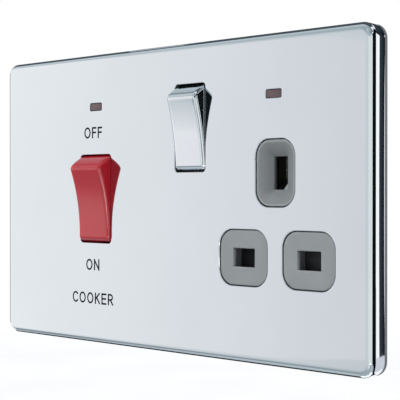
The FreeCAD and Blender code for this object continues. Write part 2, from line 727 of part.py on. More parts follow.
def live_contact():
    """The switched live strip: fixed contact of the socket switch, run to the right, drop to the pin clip."""
    y0 = STRIP_Y
    y1 = STRIP_Y + STRIP_THICK
    button_z = SOCKET_SWITCH_Z + BUTTON_Z
    run_x = SOCKET_SWITCH_X - BAR_W / 2
    drop_x0 = LIVE_STRIP_X - LIVE_STRIP_W / 2
    drop_x1 = LIVE_STRIP_X + LIVE_STRIP_W / 2
    run_top = LIVE_STRIP_RUN_Z + LIVE_STRIP_RUN_H
    leaf_z = PIN_LINE_Z + LINE_PIN_H / 2 + CONTACT_CLEARANCE + CONTACT_LEAF / 2
    pad = box(run_x, run_x + BAR_W, y0, y1, LIVE_STRIP_RUN_Z, button_z + CONTACT_PAD_HALF)
    run = box(run_x, drop_x1, y0, y1, LIVE_STRIP_RUN_Z, run_top)
    drop = box(drop_x0, drop_x1, y0, y1, leaf_z, LIVE_STRIP_TOP_Z)
    return joined(line_clip(LIVE_X), pad, run, drop)


def live_link():
    """A strip from the live supply terminal to the saddle of the socket switch."""
    y0 = LIVE_LINK_Y
    y1 = LIVE_LINK_Y + LINK_THICK
    x0 = COOKER_LIVE_X - LINK_W / 2
    x1 = SOCKET_SWITCH_X + LINK_W / 2
    top = LINK_Z + LINK_W
    stub = box(x0, x0 + LINK_W, y0, y1, -TERMINAL_INNER_Z, top)
    run = box(x0, x1, y0, y1, LINK_Z, top)
    rise = box(x1 - LINK_W, x1, y0, y1, LINK_Z, SOCKET_SWITCH_Z)
    return joined(stub, run, rise, saddle(SOCKET_SWITCH_X, SOCKET_SWITCH_Z, y1))


def neutral_link():
    """A strip from the neutral supply terminal to the back of the neutral clip."""
    y0 = NEUTRAL_LINK_Y
    y1 = NEUTRAL_LINK_Y + LINK_THICK
    x0 = COOKER_NEUTRAL_X - LINK_W / 2
    stub = box(x0, x0 + LINK_W, y0, y1, -TERMINAL_INNER_Z, LINK_Z + LINK_W)
    run = box(x0, NEUTRAL_X + LINE_CONTACT_W / 2, y0, y1, LINK_Z, LINK_Z + LINK_W)
    return joined(stub, run)


def earth_strap():
    """A strip between the two earth terminals with a branch to the earth clip."""
    y0 = EARTH_STRAP_Y
    y1 = EARTH_STRAP_Y + LINK_THICK
    x0 = EARTH_TERMINAL_X - EARTH_STRAP_W / 2
    upright = box(x0, x0 + EARTH_STRAP_W, y0, y1, -TERMINAL_INNER_Z, TERMINAL_INNER_Z)
    branch = box(x0, SOCKET_X + EARTH_PIN_W, y0, y1, -EARTH_STRAP_W / 2, EARTH_STRAP_W / 2)
    return joined(upright, branch)


def plate_earth_spring():
    """A leaf from the upper earth terminal to the back of the metal plate."""
    x0 = EARTH_TERMINAL_X - PLATE_SPRING_W / 2
    x1 = EARTH_TERMINAL_X + PLATE_SPRING_W / 2
    front = PLATE_BACK_Y + SEAT_GAP
    stem_top = PLATE_SPRING_Z + PLATE_SPRING_THICK
    stem = box(x0, x1, front, STRIP_Y, PLATE_SPRING_Z, stem_top)
    foot = box(x0, x1, front, front + PLATE_SPRING_THICK, PLATE_SPRING_Z, PLATE_SPRING_Z + PLATE_SPRING_FOOT)
    return joined(stem, foot)


def plate_spring_slot(y0, y1, height):
    """Room round the earthing leaf, from just below it up to the given height."""
    half = PLATE_SPRING_W / 2 + PLATE_SPRING_CLEARANCE
    z0 = PLATE_SPRING_Z - PLATE_SPRING_CLEARANCE
    z1 = PLATE_SPRING_Z + height + PLATE_SPRING_CLEARANCE
    return box(EARTH_TERMINAL_X - half, EARTH_TERMINAL_X + half, y0, y1, z0, z1)


def pad_openings(grow, y0, y1):
    """The three pad outlines, each grown by the same margin on every side."""
    r = PAD_CORNER_R + grow
    return [
        slab(LIVE_X, PIN_LINE_Z, LINE_PAD_W + 2 * grow, LINE_PAD_H + 2 * grow, r, y0, y1),
        slab(NEUTRAL_X, PIN_LINE_Z, LINE_PAD_W + 2 * grow, LINE_PAD_H + 2 * grow, r, y0, y1),
        slab(SOCKET_X, EARTH_Z, EARTH_PAD_W + 2 * grow, EARTH_PAD_H + 2 * grow, r, y0, y1),
    ]


NEONS = [(COOKER_NEON_X, COOKER_NEON_Z), (SOCKET_NEON_X, SOCKET_NEON_Z)]


def neon_openings(grow, y0, y1):
    w = NEON_W + 2 * grow
    h = NEON_H + 2 * grow
    return [slab(x, z, w, h, NEON_CORNER_R + grow, y0, y1) for x, z in NEONS]


def front_plate():
    """A pressed tray with a bent rim and punched openings."""
    tray = slab(0, 0, PLATE_W, PLATE_H, PLATE_CORNER_R, FRONT_Y, RIM_Y)
    tray = tray.makeFillet(PLATE_BEND_R, edges_where(tray, lambda p: abs(p.y - FRONT_Y) < MATCH))
    inner_w = PLATE_W - 2 * PLATE_SHEET
    inner_h = PLATE_H - 2 * PLATE_SHEET
    inside = slab(0, 0, inner_w, inner_h, PLATE_CORNER_R - PLATE_SHEET, PLATE_BACK_Y, RIM_Y)
    inner_bend = edges_where(inside, lambda p: abs(p.y - PLATE_BACK_Y) < MATCH)
    inside = inside.makeFillet(PLATE_BEND_R - PLATE_SHEET, inner_bend)
    y0 = FRONT_Y - OVERCUT
    y1 = PLATE_BACK_Y + OVERCUT
    apertures = [
        (COOKER_X, COOKER_Z, COOKER_APERTURE_W, COOKER_APERTURE_H),
        (SOCKET_SWITCH_X, SOCKET_SWITCH_Z, SOCKET_APERTURE_W, SOCKET_APERTURE_H),
    ]
    rockers = [slab(x, z, w, h, APERTURE_CORNER_R, y0, y1) for x, z, w, h in apertures]
    openings = rockers + pad_openings(0, y0, y1) + neon_openings(0, y0, y1)
    plate = without(tray, inside, *openings)
    margin = PLATE_BEND_R + PUNCH_EDGE
    punched = edges_where(
        plate,
        lambda p: abs(p.y - FRONT_Y) < MATCH
        and abs(p.x) < PLATE_W / 2 - margin
        and abs(p.z) < PLATE_H / 2 - margin,
    )
    return plate.makeChamfer(PUNCH_EDGE, punched)


def fixing_points():
    return [(-FIXING_X, 0), (FIXING_X, 0)]


def lamp_cradles():
    """Pairs of notched ribs that hold the neon lamps behind their windows."""
    cradles = []
    for x, z in NEONS:
        notch = rod_x(x - LAMP_HALF, x + LAMP_HALF, LAMP_Y, z, LAMP_R + LAMP_CLEARANCE)
        for sign in (-1, 1):
            rib = block(x + sign * CRADLE_X, z, CRADLE_THICK, 2 * CRADLE_HALF_H, WEB_BACK_Y, LAMP_Y)
            cradles.append(without(rib, notch))
    return cradles


def frame_ribs():
    """Stiffening ribs between the base and the frame's wall."""
    y1 = -FRAME_RIB_SETBACK
    wall_z = FRAME_H / 2 - FRAME_WALL
    wall_x = FRAME_W / 2 - FRAME_WALL
    start_z = BASE_HALF_H + COVER_CLEARANCE
    first = -FRAME_RIB_PITCH * (FRAME_RIBS - 1) / 2
    ribs = []
    for number in range(FRAME_RIBS):
        x = first + number * FRAME_RIB_PITCH
        for z0, z1 in ((start_z, wall_z), (-wall_z, -start_z)):
            ribs.append(box(x - FRAME_RIB / 2, x + FRAME_RIB / 2, WEB_BACK_Y, y1, z0, z1))
    inner_x = FIXING_X + FIXING_HEAD_R
    for x0, x1 in ((inner_x, wall_x), (-wall_x, -inner_x)):
        ribs.append(box(x0, x1, WEB_BACK_Y, y1, -FRAME_RIB / 2, FRAME_RIB / 2))
    return ribs


def frame_clips():
    """Low ridges on the frame's wall that grip the plate's rim."""
    wall_z = FRAME_H / 2
    y1 = RIM_Y - CLIP_HEIGHT
    clips = []
    for x in (-CLIP_X, CLIP_X):
        for sign in (-1, 1):
            z0, z1 = sorted([sign * (wall_z - FRAME_WALL / 2), sign * (wall_z + CLIP_PROUD)])
            clips.append(box(x - CLIP_LENGTH / 2, x + CLIP_LENGTH / 2, y1 - CLIP_HEIGHT, y1, z0, z1))
    return clips


def pillars():
    return [rod_y(x, z, PILLAR_R, WEB_BACK_Y, inner) for x, z, inner, seat in PILLARS]


def pilot_holes():
    return [rod_y(x, z, PILOT_R, inner - PILOT_DEPTH, inner) for x, z, inner, seat in PILLARS]


def mounting_frame():
    """The moulding between the plate and the wall: flange, tray, windows, bosses and pillars."""
    flange_w = PLATE_W - 2 * FLANGE_INSET
    flange_h = PLATE_H - 2 * FLANGE_INSET
    flange = slab(0, 0, flange_w, flange_h, PLATE_CORNER_R - FLANGE_INSET, RIM_Y, 0)
    tray = slab(0, 0, FRAME_W, FRAME_H, FRAME_CORNER_R, WEB_FRONT_Y, 0)
    tray = tray.makeFillet(FRAME_EDGE_R, edges_where(tray, lambda p: abs(p.y - WEB_FRONT_Y) < MATCH))
    inner_w = FRAME_W - 2 * FRAME_WALL
    inner_h = FRAME_H - 2 * FRAME_WALL
    hollow = slab(0, 0, inner_w, inner_h, FRAME_CORNER_R - FRAME_WALL, WEB_BACK_Y, 0)
    body = without(joined(flange, tray), hollow)
    bosses = [rod_y(x, z, FIXING_BOSS_R, WEB_FRONT_Y, 0) for x, z in fixing_points()]
    body = joined(body, *bosses, *frame_ribs(), *frame_clips(), *pillars(), *lamp_cradles())
    y0 = WEB_FRONT_Y - OVERCUT
    windows = pad_openings(COVER_CLEARANCE, y0, WEB_BACK_Y) + neon_openings(NEON_GAP, y0, WEB_BACK_Y)
    for switch in (COOKER, SOCKET):
        open_x, open_z = collar_size(switch)
        margin = COLLAR_WALL + COLLAR_CLEARANCE
        w = 2 * (open_x + margin)
        h = 2 * (open_z + margin)
        windows.append(block(switch["x"], switch["z"], w, h, y0, WEB_BACK_Y))
    windows.append(plate_spring_slot(y0, WEB_BACK_Y, PLATE_SPRING_FOOT))
    for x, z in fixing_points():
        windows.append(rod_y(x, z, FIXING_HEAD_R, y0, -FIXING_SEAT))
        windows.append(rod_y(x, z, FIXING_HOLE_R, y0, 0))
    prise_z = -flange_h / 2
    windows.append(block(0, prise_z, PRISE_SLOT_W, 2 * PRISE_SLOT_H, RIM_Y, 0))
    return without(body, *windows, *pilot_holes())


def earth_dish():
    """A funnel from the earth pad's rim down to its slot."""
    mouth_w = EARTH_PAD_W - 2 * (PAD_GAP + EARTH_RIM)
    mouth_h = EARTH_PAD_H - 2 * (PAD_GAP + EARTH_RIM)
    mouth = outline(SOCKET_X, EARTH_Z, mouth_w, mouth_h, PAD_CORNER_R - PAD_GAP - EARTH_RIM, PAD_FRONT_Y)
    throat_y = PAD_FRONT_Y + EARTH_DISH
    throat = outline(SOCKET_X, EARTH_Z, EARTH_SLOT_W, EARTH_SLOT_H, EARTH_SLOT_R, throat_y)
    return Part.makeLoft([mouth, throat], True, True)


def shutter_rails():
    """Channels on the back of the cover that the shutter's edges slide in."""
    y1 = SHUTTER_BACK_Y + SHUTTER_CLEARANCE
    inner = SHUTTER_HALF + SHUTTER_CLEARANCE
    rails = []
    for sign in (-1, 1):
        x0, x1 = sorted([SOCKET_X + sign * inner, SOCKET_X + sign * (inner + RAIL_W)])
        lip0, lip1 = sorted([SOCKET_X + sign * (inner - RAIL_LIP), SOCKET_X + sign * (inner + RAIL_W)])
        rails.append(box(x0, x1, COVER_BACK_Y - COVER_THICK / 2, y1, RAIL_BOTTOM_Z, SHUTTER_TOP_Z))
        rails.append(box(lip0, lip1, y1, y1 + RAIL_LIP_THICK, RAIL_BOTTOM_Z, SHUTTER_TOP_Z))
    return rails


def socket_cover():
    """The socket's front moulding: two flat pads, a dished earth pad and the shutter's rails."""
    plate = prism_y(
        [
            (COVER_X0, COVER_Z0), (COVER_X1, COVER_Z0), (COVER_X1, COVER_STEP_Z),
            (COVER_STEP_X, COVER_STEP_Z), (COVER_STEP_X, COVER_Z1), (COVER_X0, COVER_Z1),
        ],
        WEB_BACK_Y,
        COVER_BACK_Y,
    )
    pads = []
    for pad in pad_openings(-PAD_GAP, PAD_FRONT_Y, WEB_BACK_Y):
        rim = edges_where(pad, lambda p: abs(p.y - PAD_FRONT_Y) < MATCH)
        pads.append(pad.makeChamfer(PAD_EDGE, rim))
    x0 = SOCKET_X - LEDGE_W / 2
    x1 = SOCKET_X + LEDGE_W / 2
    ledge_z0 = LEDGE_Z - LEDGE_H
    tongue = box(x0, x1, WEB_BACK_Y, COVER_BACK_Y, ledge_z0, COVER_Z0)
    ledge = box(x0, x1, WEB_BACK_Y, COVER_BACK_Y + LEDGE_DEPTH, ledge_z0, LEDGE_Z)
    earth_slot = slab(SOCKET_X, EARTH_Z, EARTH_SLOT_W, EARTH_SLOT_H, EARTH_SLOT_R, PAD_FRONT_Y, COVER_BACK_Y)
    slots = [earth_dish(), earth_slot]
    for x in (LIVE_X, NEUTRAL_X):
        slots.append(block(x, PIN_LINE_Z, LINE_SLOT_W, LINE_SLOT_H, PAD_FRONT_Y, COVER_BACK_Y))
        mouth_w = LINE_SLOT_W + 2 * SLOT_CHAMFER
        mouth_h = LINE_SLOT_H + 2 * SLOT_CHAMFER
        mouth = outline(x, PIN_LINE_Z, mouth_w, mouth_h, SLOT_CHAMFER, PAD_FRONT_Y)
        throat_y = PAD_FRONT_Y + SLOT_CHAMFER
        throat = outline(x, PIN_LINE_Z, LINE_SLOT_W, LINE_SLOT_H, SLOT_CHAMFER, throat_y)
        slots.append(Part.makeLoft([mouth, throat], True, True))
    return without(joined(plate, tongue, ledge, *pads, *shutter_rails()), *slots)


def shutter():
    """A plate over the live and neutral slots with a ramped arm behind the earth slot."""
    y0 = SHUTTER_FRONT_Y
    y1 = SHUTTER_BACK_Y
    plate = box(SOCKET_X - SHUTTER_HALF, SOCKET_X + SHUTTER_HALF, y0, y1, SHUTTER_BOTTOM_Z, SHUTTER_TOP_Z)
    low = EARTH_Z - EARTH_SLOT_H / 2 + SHUTTER_RAMP_DROP
    ramp_y = y0 + SHUTTER_TRAVEL
    arm = prism_x(
        [
            (y0, SHUTTER_BOTTOM_Z), (y0, low), (ramp_y, low + SHUTTER_TRAVEL),
            (ramp_y, low + SHUTTER_TRAVEL - SHUTTER_RAMP_THICK),
            (y1, low + SHUTTER_THICK - SHUTTER_RAMP_THICK), (y1, SHUTTER_BOTTOM_Z),
        ],
        SOCKET_X - SHUTTER_ARM_W / 2,
        SOCKET_X + SHUTTER_ARM_W / 2,
    )
    foot_x0 = SOCKET_X - SHUTTER_FOOT_W / 2
    foot_top = SHUTTER_BOTTOM_Z + SHUTTER_FOOT_H
    foot = box(foot_x0, foot_x0 + SHUTTER_FOOT_W, y0, y0 + SHUTTER_FOOT_DEPTH, SHUTTER_BOTTOM_Z, foot_top)
    peg = rod_z(SOCKET_X, SHUTTER_SPRING_Y, SHUTTER_PEG_R, SHUTTER_BOTTOM_Z - SHUTTER_PEG_LENGTH, foot_top)
    return joined(plate, arm, foot, peg)


def shutter_spring():
    spring = coil(SHUTTER_SPRING_R, SHUTTER_SPRING_WIRE, SHUTTER_SPRING_LENGTH, SHUTTER_SPRING_TURNS)
    return spring.translated(vec(SOCKET_X, SHUTTER_SPRING_Y, LEDGE_Z))


def cheek(inset, back):
    """The sloped side of the box that covers the live contact, drawn in by an inset."""
    slope = CHEEK_RUN / (CHEEK_BACK_Y - CHEEK_SLOPE_Y)
    shift = inset * math.hypot(1, slope)
    right = BASE_RIGHT - inset
    start_y = CHEEK_SLOPE_Y + (inset - shift) / slope
    end_x = BASE_RIGHT - shift - slope * (back - CHEEK_SLOPE_Y)
    inner_x = BASE_STEP_X - 2 * BASE_WALL
    side = [(inner_x, WEB_BACK_Y), (right, WEB_BACK_Y), (right, start_y), (end_x, back), (inner_x, back)]
    return prism_z(side, inset - BASE_HALF_H, BASE_STEP_Z - inset)


def bay_barriers():
    """Walls between the terminals, in both bays."""
    gap_left = COOKER_LIVE_X - TERMINAL_W / 2 - BARRIER
    gap_right = (COOKER_NEUTRAL_X + EARTH_TERMINAL_X) / 2
    end_y = SPINE_BACK_Y - BARRIER_SETBACK
    walls = []
    for x in (gap_left, COOKER_X, gap_right):
        for sign in (-1, 1):
            z0, z1 = sorted([sign * (BASE_SPINE_HALF - BASE_WALL), sign * BASE_HALF_H])
            walls.append(box(x - BARRIER / 2, x + BARRIER / 2, SHELF_Y, end_y, z0, z1))
    return walls


def base_posts():
    """Posts that press the switch housings against the frame, and the wall between the cooker's poles."""
    posts = []
    places = [
        (COOKER, COOKER_POST_X, COOKER_POST_Z, SPINE_FLOOR_Y + SPINE_FLOOR / 2),
        (SOCKET, SOCKET_POST_X, SOCKET_POST_Z, BOX_FLOOR_Y + BOX_FLOOR / 2),
    ]
    for switch, dx, dz, end in places:
        for sx in (-1, 1):
            for sz in (-1, 1):
                x = switch["x"] + sx * dx
                z = switch["z"] + sz * dz
                posts.append(block(x, z, POST, POST, HOUSING_BACK, end))
    wall_top = BASE_SPINE_HALF - BASE_WALL / 2
    wall_end = SPINE_FLOOR_Y + SPINE_FLOOR / 2
    x0 = COOKER_X - BARRIER / 2
    posts.append(box(x0, x0 + BARRIER, BARRIER_FRONT, wall_end, BARRIER_LOW_Z, wall_top))
    return posts


def strip_slots():
    """Slots in the spine's walls for the strips that leave the terminals."""
    wall = (BASE_SPINE_HALF - BASE_WALL - SLOT_CLEARANCE, BASE_SPINE_HALF + SLOT_CLEARANCE)
    below = (-wall[1], -wall[0])
    strip = (STRIP_Y, STRIP_Y + STRIP_THICK, BAR_W)
    live = (LIVE_LINK_Y, LIVE_LINK_Y + LINK_THICK, LINK_W)
    neutral = (NEUTRAL_LINK_Y, NEUTRAL_LINK_Y + LINK_THICK, LINK_W)
    earth = (EARTH_STRAP_Y, EARTH_STRAP_Y + LINK_THICK, EARTH_STRAP_W)
    passes = [
        (COOKER_LIVE_X, strip, wall), (COOKER_NEUTRAL_X, strip, wall), (EARTH_TERMINAL_X, earth, wall),
        (COOKER_LIVE_X, strip, below), (COOKER_NEUTRAL_X, strip, below), (EARTH_TERMINAL_X, earth, below),
        (COOKER_LIVE_X, live, below), (COOKER_NEUTRAL_X, neutral, below),
    ]
    slots = []
    for x, (y0, y1, w), (z0, z1) in passes:
        half = w / 2 + SLOT_CLEARANCE
        slots.append(box(x - half, x + half, y0 - SLOT_CLEARANCE, y1 + SLOT_CLEARANCE, z0, z1))
    return slots


def rear_base():
    """The moulded back: a box behind the socket, a spine behind the cooker switch, bays for the terminals."""
    half = BASE_HALF_H
    spine = BASE_SPINE_HALF
    shallow = box(BASE_LEFT, BASE_STEP_X, WEB_BACK_Y, STRIP_Y, -half, half)
    ridge = box(BASE_LEFT, BAY_RIGHT, WEB_BACK_Y, SPINE_BACK_Y, -spine, spine)
    deep = box(BAY_RIGHT, BASE_STEP_X, WEB_BACK_Y, BOX_BACK_Y, -half, half)
    body = joined(shallow, ridge, deep, cheek(0, CHEEK_BACK_Y))
    corners = [(BASE_LEFT, -half), (BASE_LEFT, half), (BASE_STEP_X, half)]
    rounded = []
    for x, z in corners:
        rounded += edges_where(body, lambda p: abs(p.x - x) < MATCH and abs(p.z - z) < MATCH)
    body = body.makeFillet(BASE_CORNER_R, rounded)
    left = BASE_LEFT + BASE_WALL
    right = BASE_STEP_X - BASE_WALL
    top = half - BASE_WALL
    rooms = [
        box(left, right, WEB_BACK_Y, SHELF_Y, -top, top),
        box(left, BAY_RIGHT - BASE_WALL, WEB_BACK_Y, SPINE_FLOOR_Y, BASE_WALL - spine, spine - BASE_WALL),
        box(left, right, WEB_BACK_Y, BOX_FLOOR_Y, BASE_WALL - spine, spine - BASE_WALL),
        box(BAY_RIGHT + BASE_WALL, right, WEB_BACK_Y, BOX_FLOOR_Y, -top, top),
        cheek(BASE_WALL, CHEEK_FLOOR_Y),
    ]
    body = joined(without(body, *rooms), *bay_barriers(), *base_posts())
    holes = strip_slots()
    for x, z, inner, seat in PILLARS:
        holes.append(rod_y(x, z, BASE_SCREW_HOLE_R, inner, seat))
    for x in (COOKER_LIVE_X, COOKER_NEUTRAL_X):
        holes.append(rod_y(x, COOKER_NEON_Z, LEAD_HOLE_R, SHELF_Y, STRIP_Y))
    holes.append(plate_spring_slot(SHELF_Y, STRIP_Y, PLATE_SPRING_THICK))
    return without(body, *holes)


def neon_lens(x, z):
    """A small window with a flange that stops it behind the frame's web."""
    w = NEON_W - 2 * NEON_GAP
    h = NEON_H - 2 * NEON_GAP
    window = slab(x, z, w, h, NEON_CORNER_R - NEON_GAP, FRONT_Y + NEON_RECESS, WEB_BACK_Y)
    flange_w = NEON_W + 2 * NEON_FLANGE_LAP
    flange_h = NEON_H + 2 * NEON_FLANGE_LAP
    flange = block(x, z, flange_w, flange_h, WEB_BACK_Y, WEB_BACK_Y + NEON_FLANGE_THICK)
    return joined(window, flange)


def neon_lamp(x, z):
    """A glass tube drawn in at its ends."""
    tube = rod_x(x - LAMP_HALF, x + LAMP_HALF, LAMP_Y, z, LAMP_R)
    round_edges = [edge for edge in tube.Edges if edge.Closed]
    return tube.makeChamfer(LAMP_END, round_edges)


def resistor(x, z):
    return rod_y(x, z, RESISTOR_R, RESISTOR_FRONT, RESISTOR_FRONT + RESISTOR_LENGTH)


def neon_leads():
    """Wires from the lamps: one through a resistor to the load, one straight back."""
    resistor_end = RESISTOR_FRONT + RESISTOR_LENGTH
    z = COOKER_NEON_Z
    left = COOKER_NEON_X - LAMP_HALF
    right = COOKER_NEON_X + LAMP_HALF
    paths = [
        [vec(left, LAMP_Y, z), vec(COOKER_LIVE_X, LAMP_Y, z), vec(COOKER_LIVE_X, RESISTOR_FRONT, z)],
        [vec(COOKER_LIVE_X, resistor_end, z), vec(COOKER_LIVE_X, STRIP_Y, z)],
        [vec(right, LAMP_Y, z), vec(COOKER_NEUTRAL_X, LAMP_Y, z), vec(COOKER_NEUTRAL_X, STRIP_Y, z)],
    ]
    z = SOCKET_NEON_Z
    left = SOCKET_NEON_X - LAMP_HALF
    right = SOCKET_NEON_X + LAMP_HALF
    clip_top = PIN_LINE_Z + LINE_PIN_H / 2 + CONTACT_CLEARANCE + CONTACT_LEAF
    paths += [
        [vec(right, LAMP_Y, z), vec(LIVE_STRIP_X, LAMP_Y, z), vec(LIVE_STRIP_X, RESISTOR_FRONT, z)],
        [vec(LIVE_STRIP_X, resistor_end, z), vec(LIVE_STRIP_X, STRIP_Y, z)],
        [
            vec(left, LAMP_Y, z), vec(SOCKET_LEAD_X, LAMP_Y, z),
            vec(SOCKET_LEAD_X, SOCKET_LEAD_Y, z), vec(SOCKET_LEAD_X, SOCKET_LEAD_Y, clip_top),
        ],
    ]
    return [swept(path, LEAD_R, LEAD_SIDES) for path in paths]


export("front_plate", front_plate())
export("mounting_frame", mounting_frame())
export("socket_cover", socket_cover())
export("shutter", shutter())
export("shutter_spring", shutter_spring())
export("rear_base", rear_base())
export("base_screws", *base_screws())

export("cooker_rocker", rocker(COOKER))
export("cooker_switch_housing", switch_housing(COOKER))
export("cooker_plungers", *[plunger(COOKER, leg) for leg in COOKER["legs"]])
export("cooker_plunger_springs", *[plunger_spring(COOKER, leg) for leg in COOKER["legs"]])
export("cooker_live_contact_bar", contact_bar(COOKER_LIVE_X, COOKER_Z))
export("cooker_neutral_contact_bar", contact_bar(COOKER_NEUTRAL_X, COOKER_Z))

export("socket_rocker", rocker(SOCKET))
export("socket_switch_housing", switch_housing(SOCKET))
export("socket_plunger", *[plunger(SOCKET, leg) for leg in SOCKET["legs"]])
export("socket_plunger_spring", *[plunger_spring(SOCKET, leg) for leg in SOCKET["legs"]])
export("socket_contact_bar", contact_bar(SOCKET_SWITCH_X, SOCKET_SWITCH_Z))

export("supply_live_terminal", supply_terminal(COOKER_LIVE_X))
export("supply_neutral_terminal", supply_terminal(COOKER_NEUTRAL_X))
export("supply_earth_terminal", terminal_block(EARTH_TERMINAL_X, -1))
export("load_live_terminal", load_terminal(COOKER_LIVE_X))
export("load_neutral_terminal", load_terminal(COOKER_NEUTRAL_X))
export("load_earth_terminal", terminal_block(EARTH_TERMINAL_X, 1))
export("terminal_screws", *terminal_screws())

export("live_contact", live_contact())
export("neutral_contact", line_clip(NEUTRAL_X))
export("earth_contact", earth_contact())
export("live_link", live_link())
export("neutral_link", neutral_link())
export("earth_strap", earth_strap())
export("plate_earth_spring", plate_earth_spring())

export("cooker_neon_lens", neon_lens(COOKER_NEON_X, COOKER_NEON_Z))
export("socket_neon_lens", neon_lens(SOCKET_NEON_X, SOCKET_NEON_Z))
export("cooker_neon_lamp", neon_lamp(COOKER_NEON_X, COOKER_NEON_Z))
export("socket_neon_lamp", neon_lamp(SOCKET_NEON_X, SOCKET_NEON_Z))
export("neon_resistors", resistor(COOKER_LIVE_X, COOKER_NEON_Z), resistor(LIVE_STRIP_X, SOCKET_NEON_Z))
export("neon_leads", *neon_leads())
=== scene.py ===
import json
import math

import bmesh
import bpy
from bpy.props import FloatProperty, FloatVectorProperty, PointerProperty
from mathutils import Matrix, Vector
from mathutils.geometry import delaunay_2d_cdt


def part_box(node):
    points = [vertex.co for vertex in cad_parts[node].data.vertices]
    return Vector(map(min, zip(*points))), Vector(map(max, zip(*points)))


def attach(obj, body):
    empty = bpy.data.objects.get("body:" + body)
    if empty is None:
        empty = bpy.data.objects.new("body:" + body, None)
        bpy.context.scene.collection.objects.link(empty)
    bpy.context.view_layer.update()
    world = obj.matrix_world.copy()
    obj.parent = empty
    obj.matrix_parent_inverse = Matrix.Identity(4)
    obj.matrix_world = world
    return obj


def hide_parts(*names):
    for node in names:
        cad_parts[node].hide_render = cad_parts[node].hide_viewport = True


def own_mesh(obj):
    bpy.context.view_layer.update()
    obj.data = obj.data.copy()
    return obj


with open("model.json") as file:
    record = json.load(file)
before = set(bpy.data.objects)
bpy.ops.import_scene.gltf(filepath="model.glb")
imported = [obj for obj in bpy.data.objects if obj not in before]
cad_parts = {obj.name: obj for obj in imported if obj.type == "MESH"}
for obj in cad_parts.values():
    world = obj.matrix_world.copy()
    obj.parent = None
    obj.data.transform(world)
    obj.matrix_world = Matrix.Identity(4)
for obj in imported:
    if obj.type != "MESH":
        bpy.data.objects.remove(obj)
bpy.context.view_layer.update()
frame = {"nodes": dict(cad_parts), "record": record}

bl_info = {
    "name": "Cooker Control Unit",
    "version": (1, 0, 0),
    "blender": (4, 5, 0),
    "location": "3D View > Sidebar > Cooker Unit",
    "description": "Dresses the packed cooker control unit and sets its studio",
    "category": "Object",
}

MM = 0.001

# Places (x, z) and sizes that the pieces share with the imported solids, in millimetres
FRONT_Y = -6.0
RIM_Y = -1.0
PIVOT_Y = -1.0
COOKER_PLACE = (-29.1, 0.0)
COOKER_APERTURE = (13.9, 26.3)
SOCKET_SWITCH_PLACE = (10.9, 19.6)
SOCKET_APERTURE = (11.85, 24.3)
APERTURE_CORNER = 1.1
NEONS = ((-28.95, 27.35), (41.45, 27.3))
NEON_WINDOW = (5.3, 2.25)
NEON_CORNER = 0.4
LINE_PINS = ((53.0, -15.3), (30.8, -15.3))
LINE_PAD = (17.3, 15.0)
LINE_SLOT = (7.6, 4.9)
EARTH_PIN = (41.9, 6.9)
EARTH_PAD = (13.6, 17.7)
EARTH_SLOT = (4.6, 8.6)

# Steps round a bend, and the short flat run that keeps a flat face flat beside it
CORNER_STEPS = 12
BEND_STEPS = 14
EDGE_STEPS = 8
SUPPORT = 0.45
# A fold sharper than this stays a sharp corner in the shading
SHARP = math.radians(34.0)


def linear(code):
    """Turn an sRGB hex colour into linear red, green, blue and alpha."""
    channels = [int(code[start:start + 2], 16) / 255 for start in (1, 3, 5)]
    straight = [c / 12.92 if c <= 0.04045 else ((c + 0.055) / 1.055) ** 2.4 for c in channels]
    return (*straight, 1.0)


def colour(label, words, code):
    return FloatVectorProperty(
        name=label, description=words, default=linear(code), subtype="COLOR", size=4, min=0.0, max=1.0
    )


def length(label, words, millimetres):
    return FloatProperty(
        name=label, description=words, default=millimetres * MM, unit="LENGTH", subtype="DISTANCE",
        min=0.0, precision=5,
    )


def angle(label, words, degrees):
    return FloatProperty(name=label, description=words, default=math.radians(degrees), subtype="ANGLE")


class PlateSettings(bpy.types.PropertyGroup):
    sheet: length("Sheet", "Thickness of the pressed steel", 0.8)
    bend: length("Bend", "Outer radius of the folded rim", 1.5)
    corner: length("Corner", "Radius of the plate's corners", 4.0)
    punch: length("Punched edge", "Rounding of the punched openings", 0.2)
    roll: length("Roll-off", "Width over which the face falls away before the fold", 1.1)
    roll_turn: angle("Roll-off turn", "Turn of the face where the fold starts", 5.0)
    spring_back: angle("Rim start", "How far short of square the wall leaves the bend", 2.0)
    lean: angle("Rim lean", "Turn of the rim's wall past square at its end", 8.0)


class RockerSettings(bpy.types.PropertyGroup):
    tilt: angle("Tilt", "Turn of both rockers in the ON position", 10.0)
    edge: length("Edge", "Rounding of the rockers' long edges", 1.0)
    ridge: length("Ridge", "Rounding between a rocker's face and its ends", 1.5)
    cooker_half: length("Cooker half face", "Half the length of the cooker rocker's face", 10.8)
    cooker_rise: length("Cooker rise", "Height of the cooker rocker's ridges over its pivot", 8.1)
    cooker_dish: length("Cooker dish", "Depth of the hollow in the cooker rocker's face", 1.1)
    socket_half: length("Socket half face", "Half the length of the socket rocker's face", 10.0)
    socket_rise: length("Socket rise", "Height of the socket rocker's ridges over its pivot", 7.25)
    socket_dish: length("Socket dish", "Depth of the hollow in the socket rocker's face", 0.6)


class LetterSettings(bpy.types.PropertyGroup):
    thickness: length("Ink", "Thickness of the printed letters", 0.02)
    stroke: length("Stroke", "Width of a printed stroke", 0.56)
    height: length("Capitals", "Height of the capitals", 3.4)


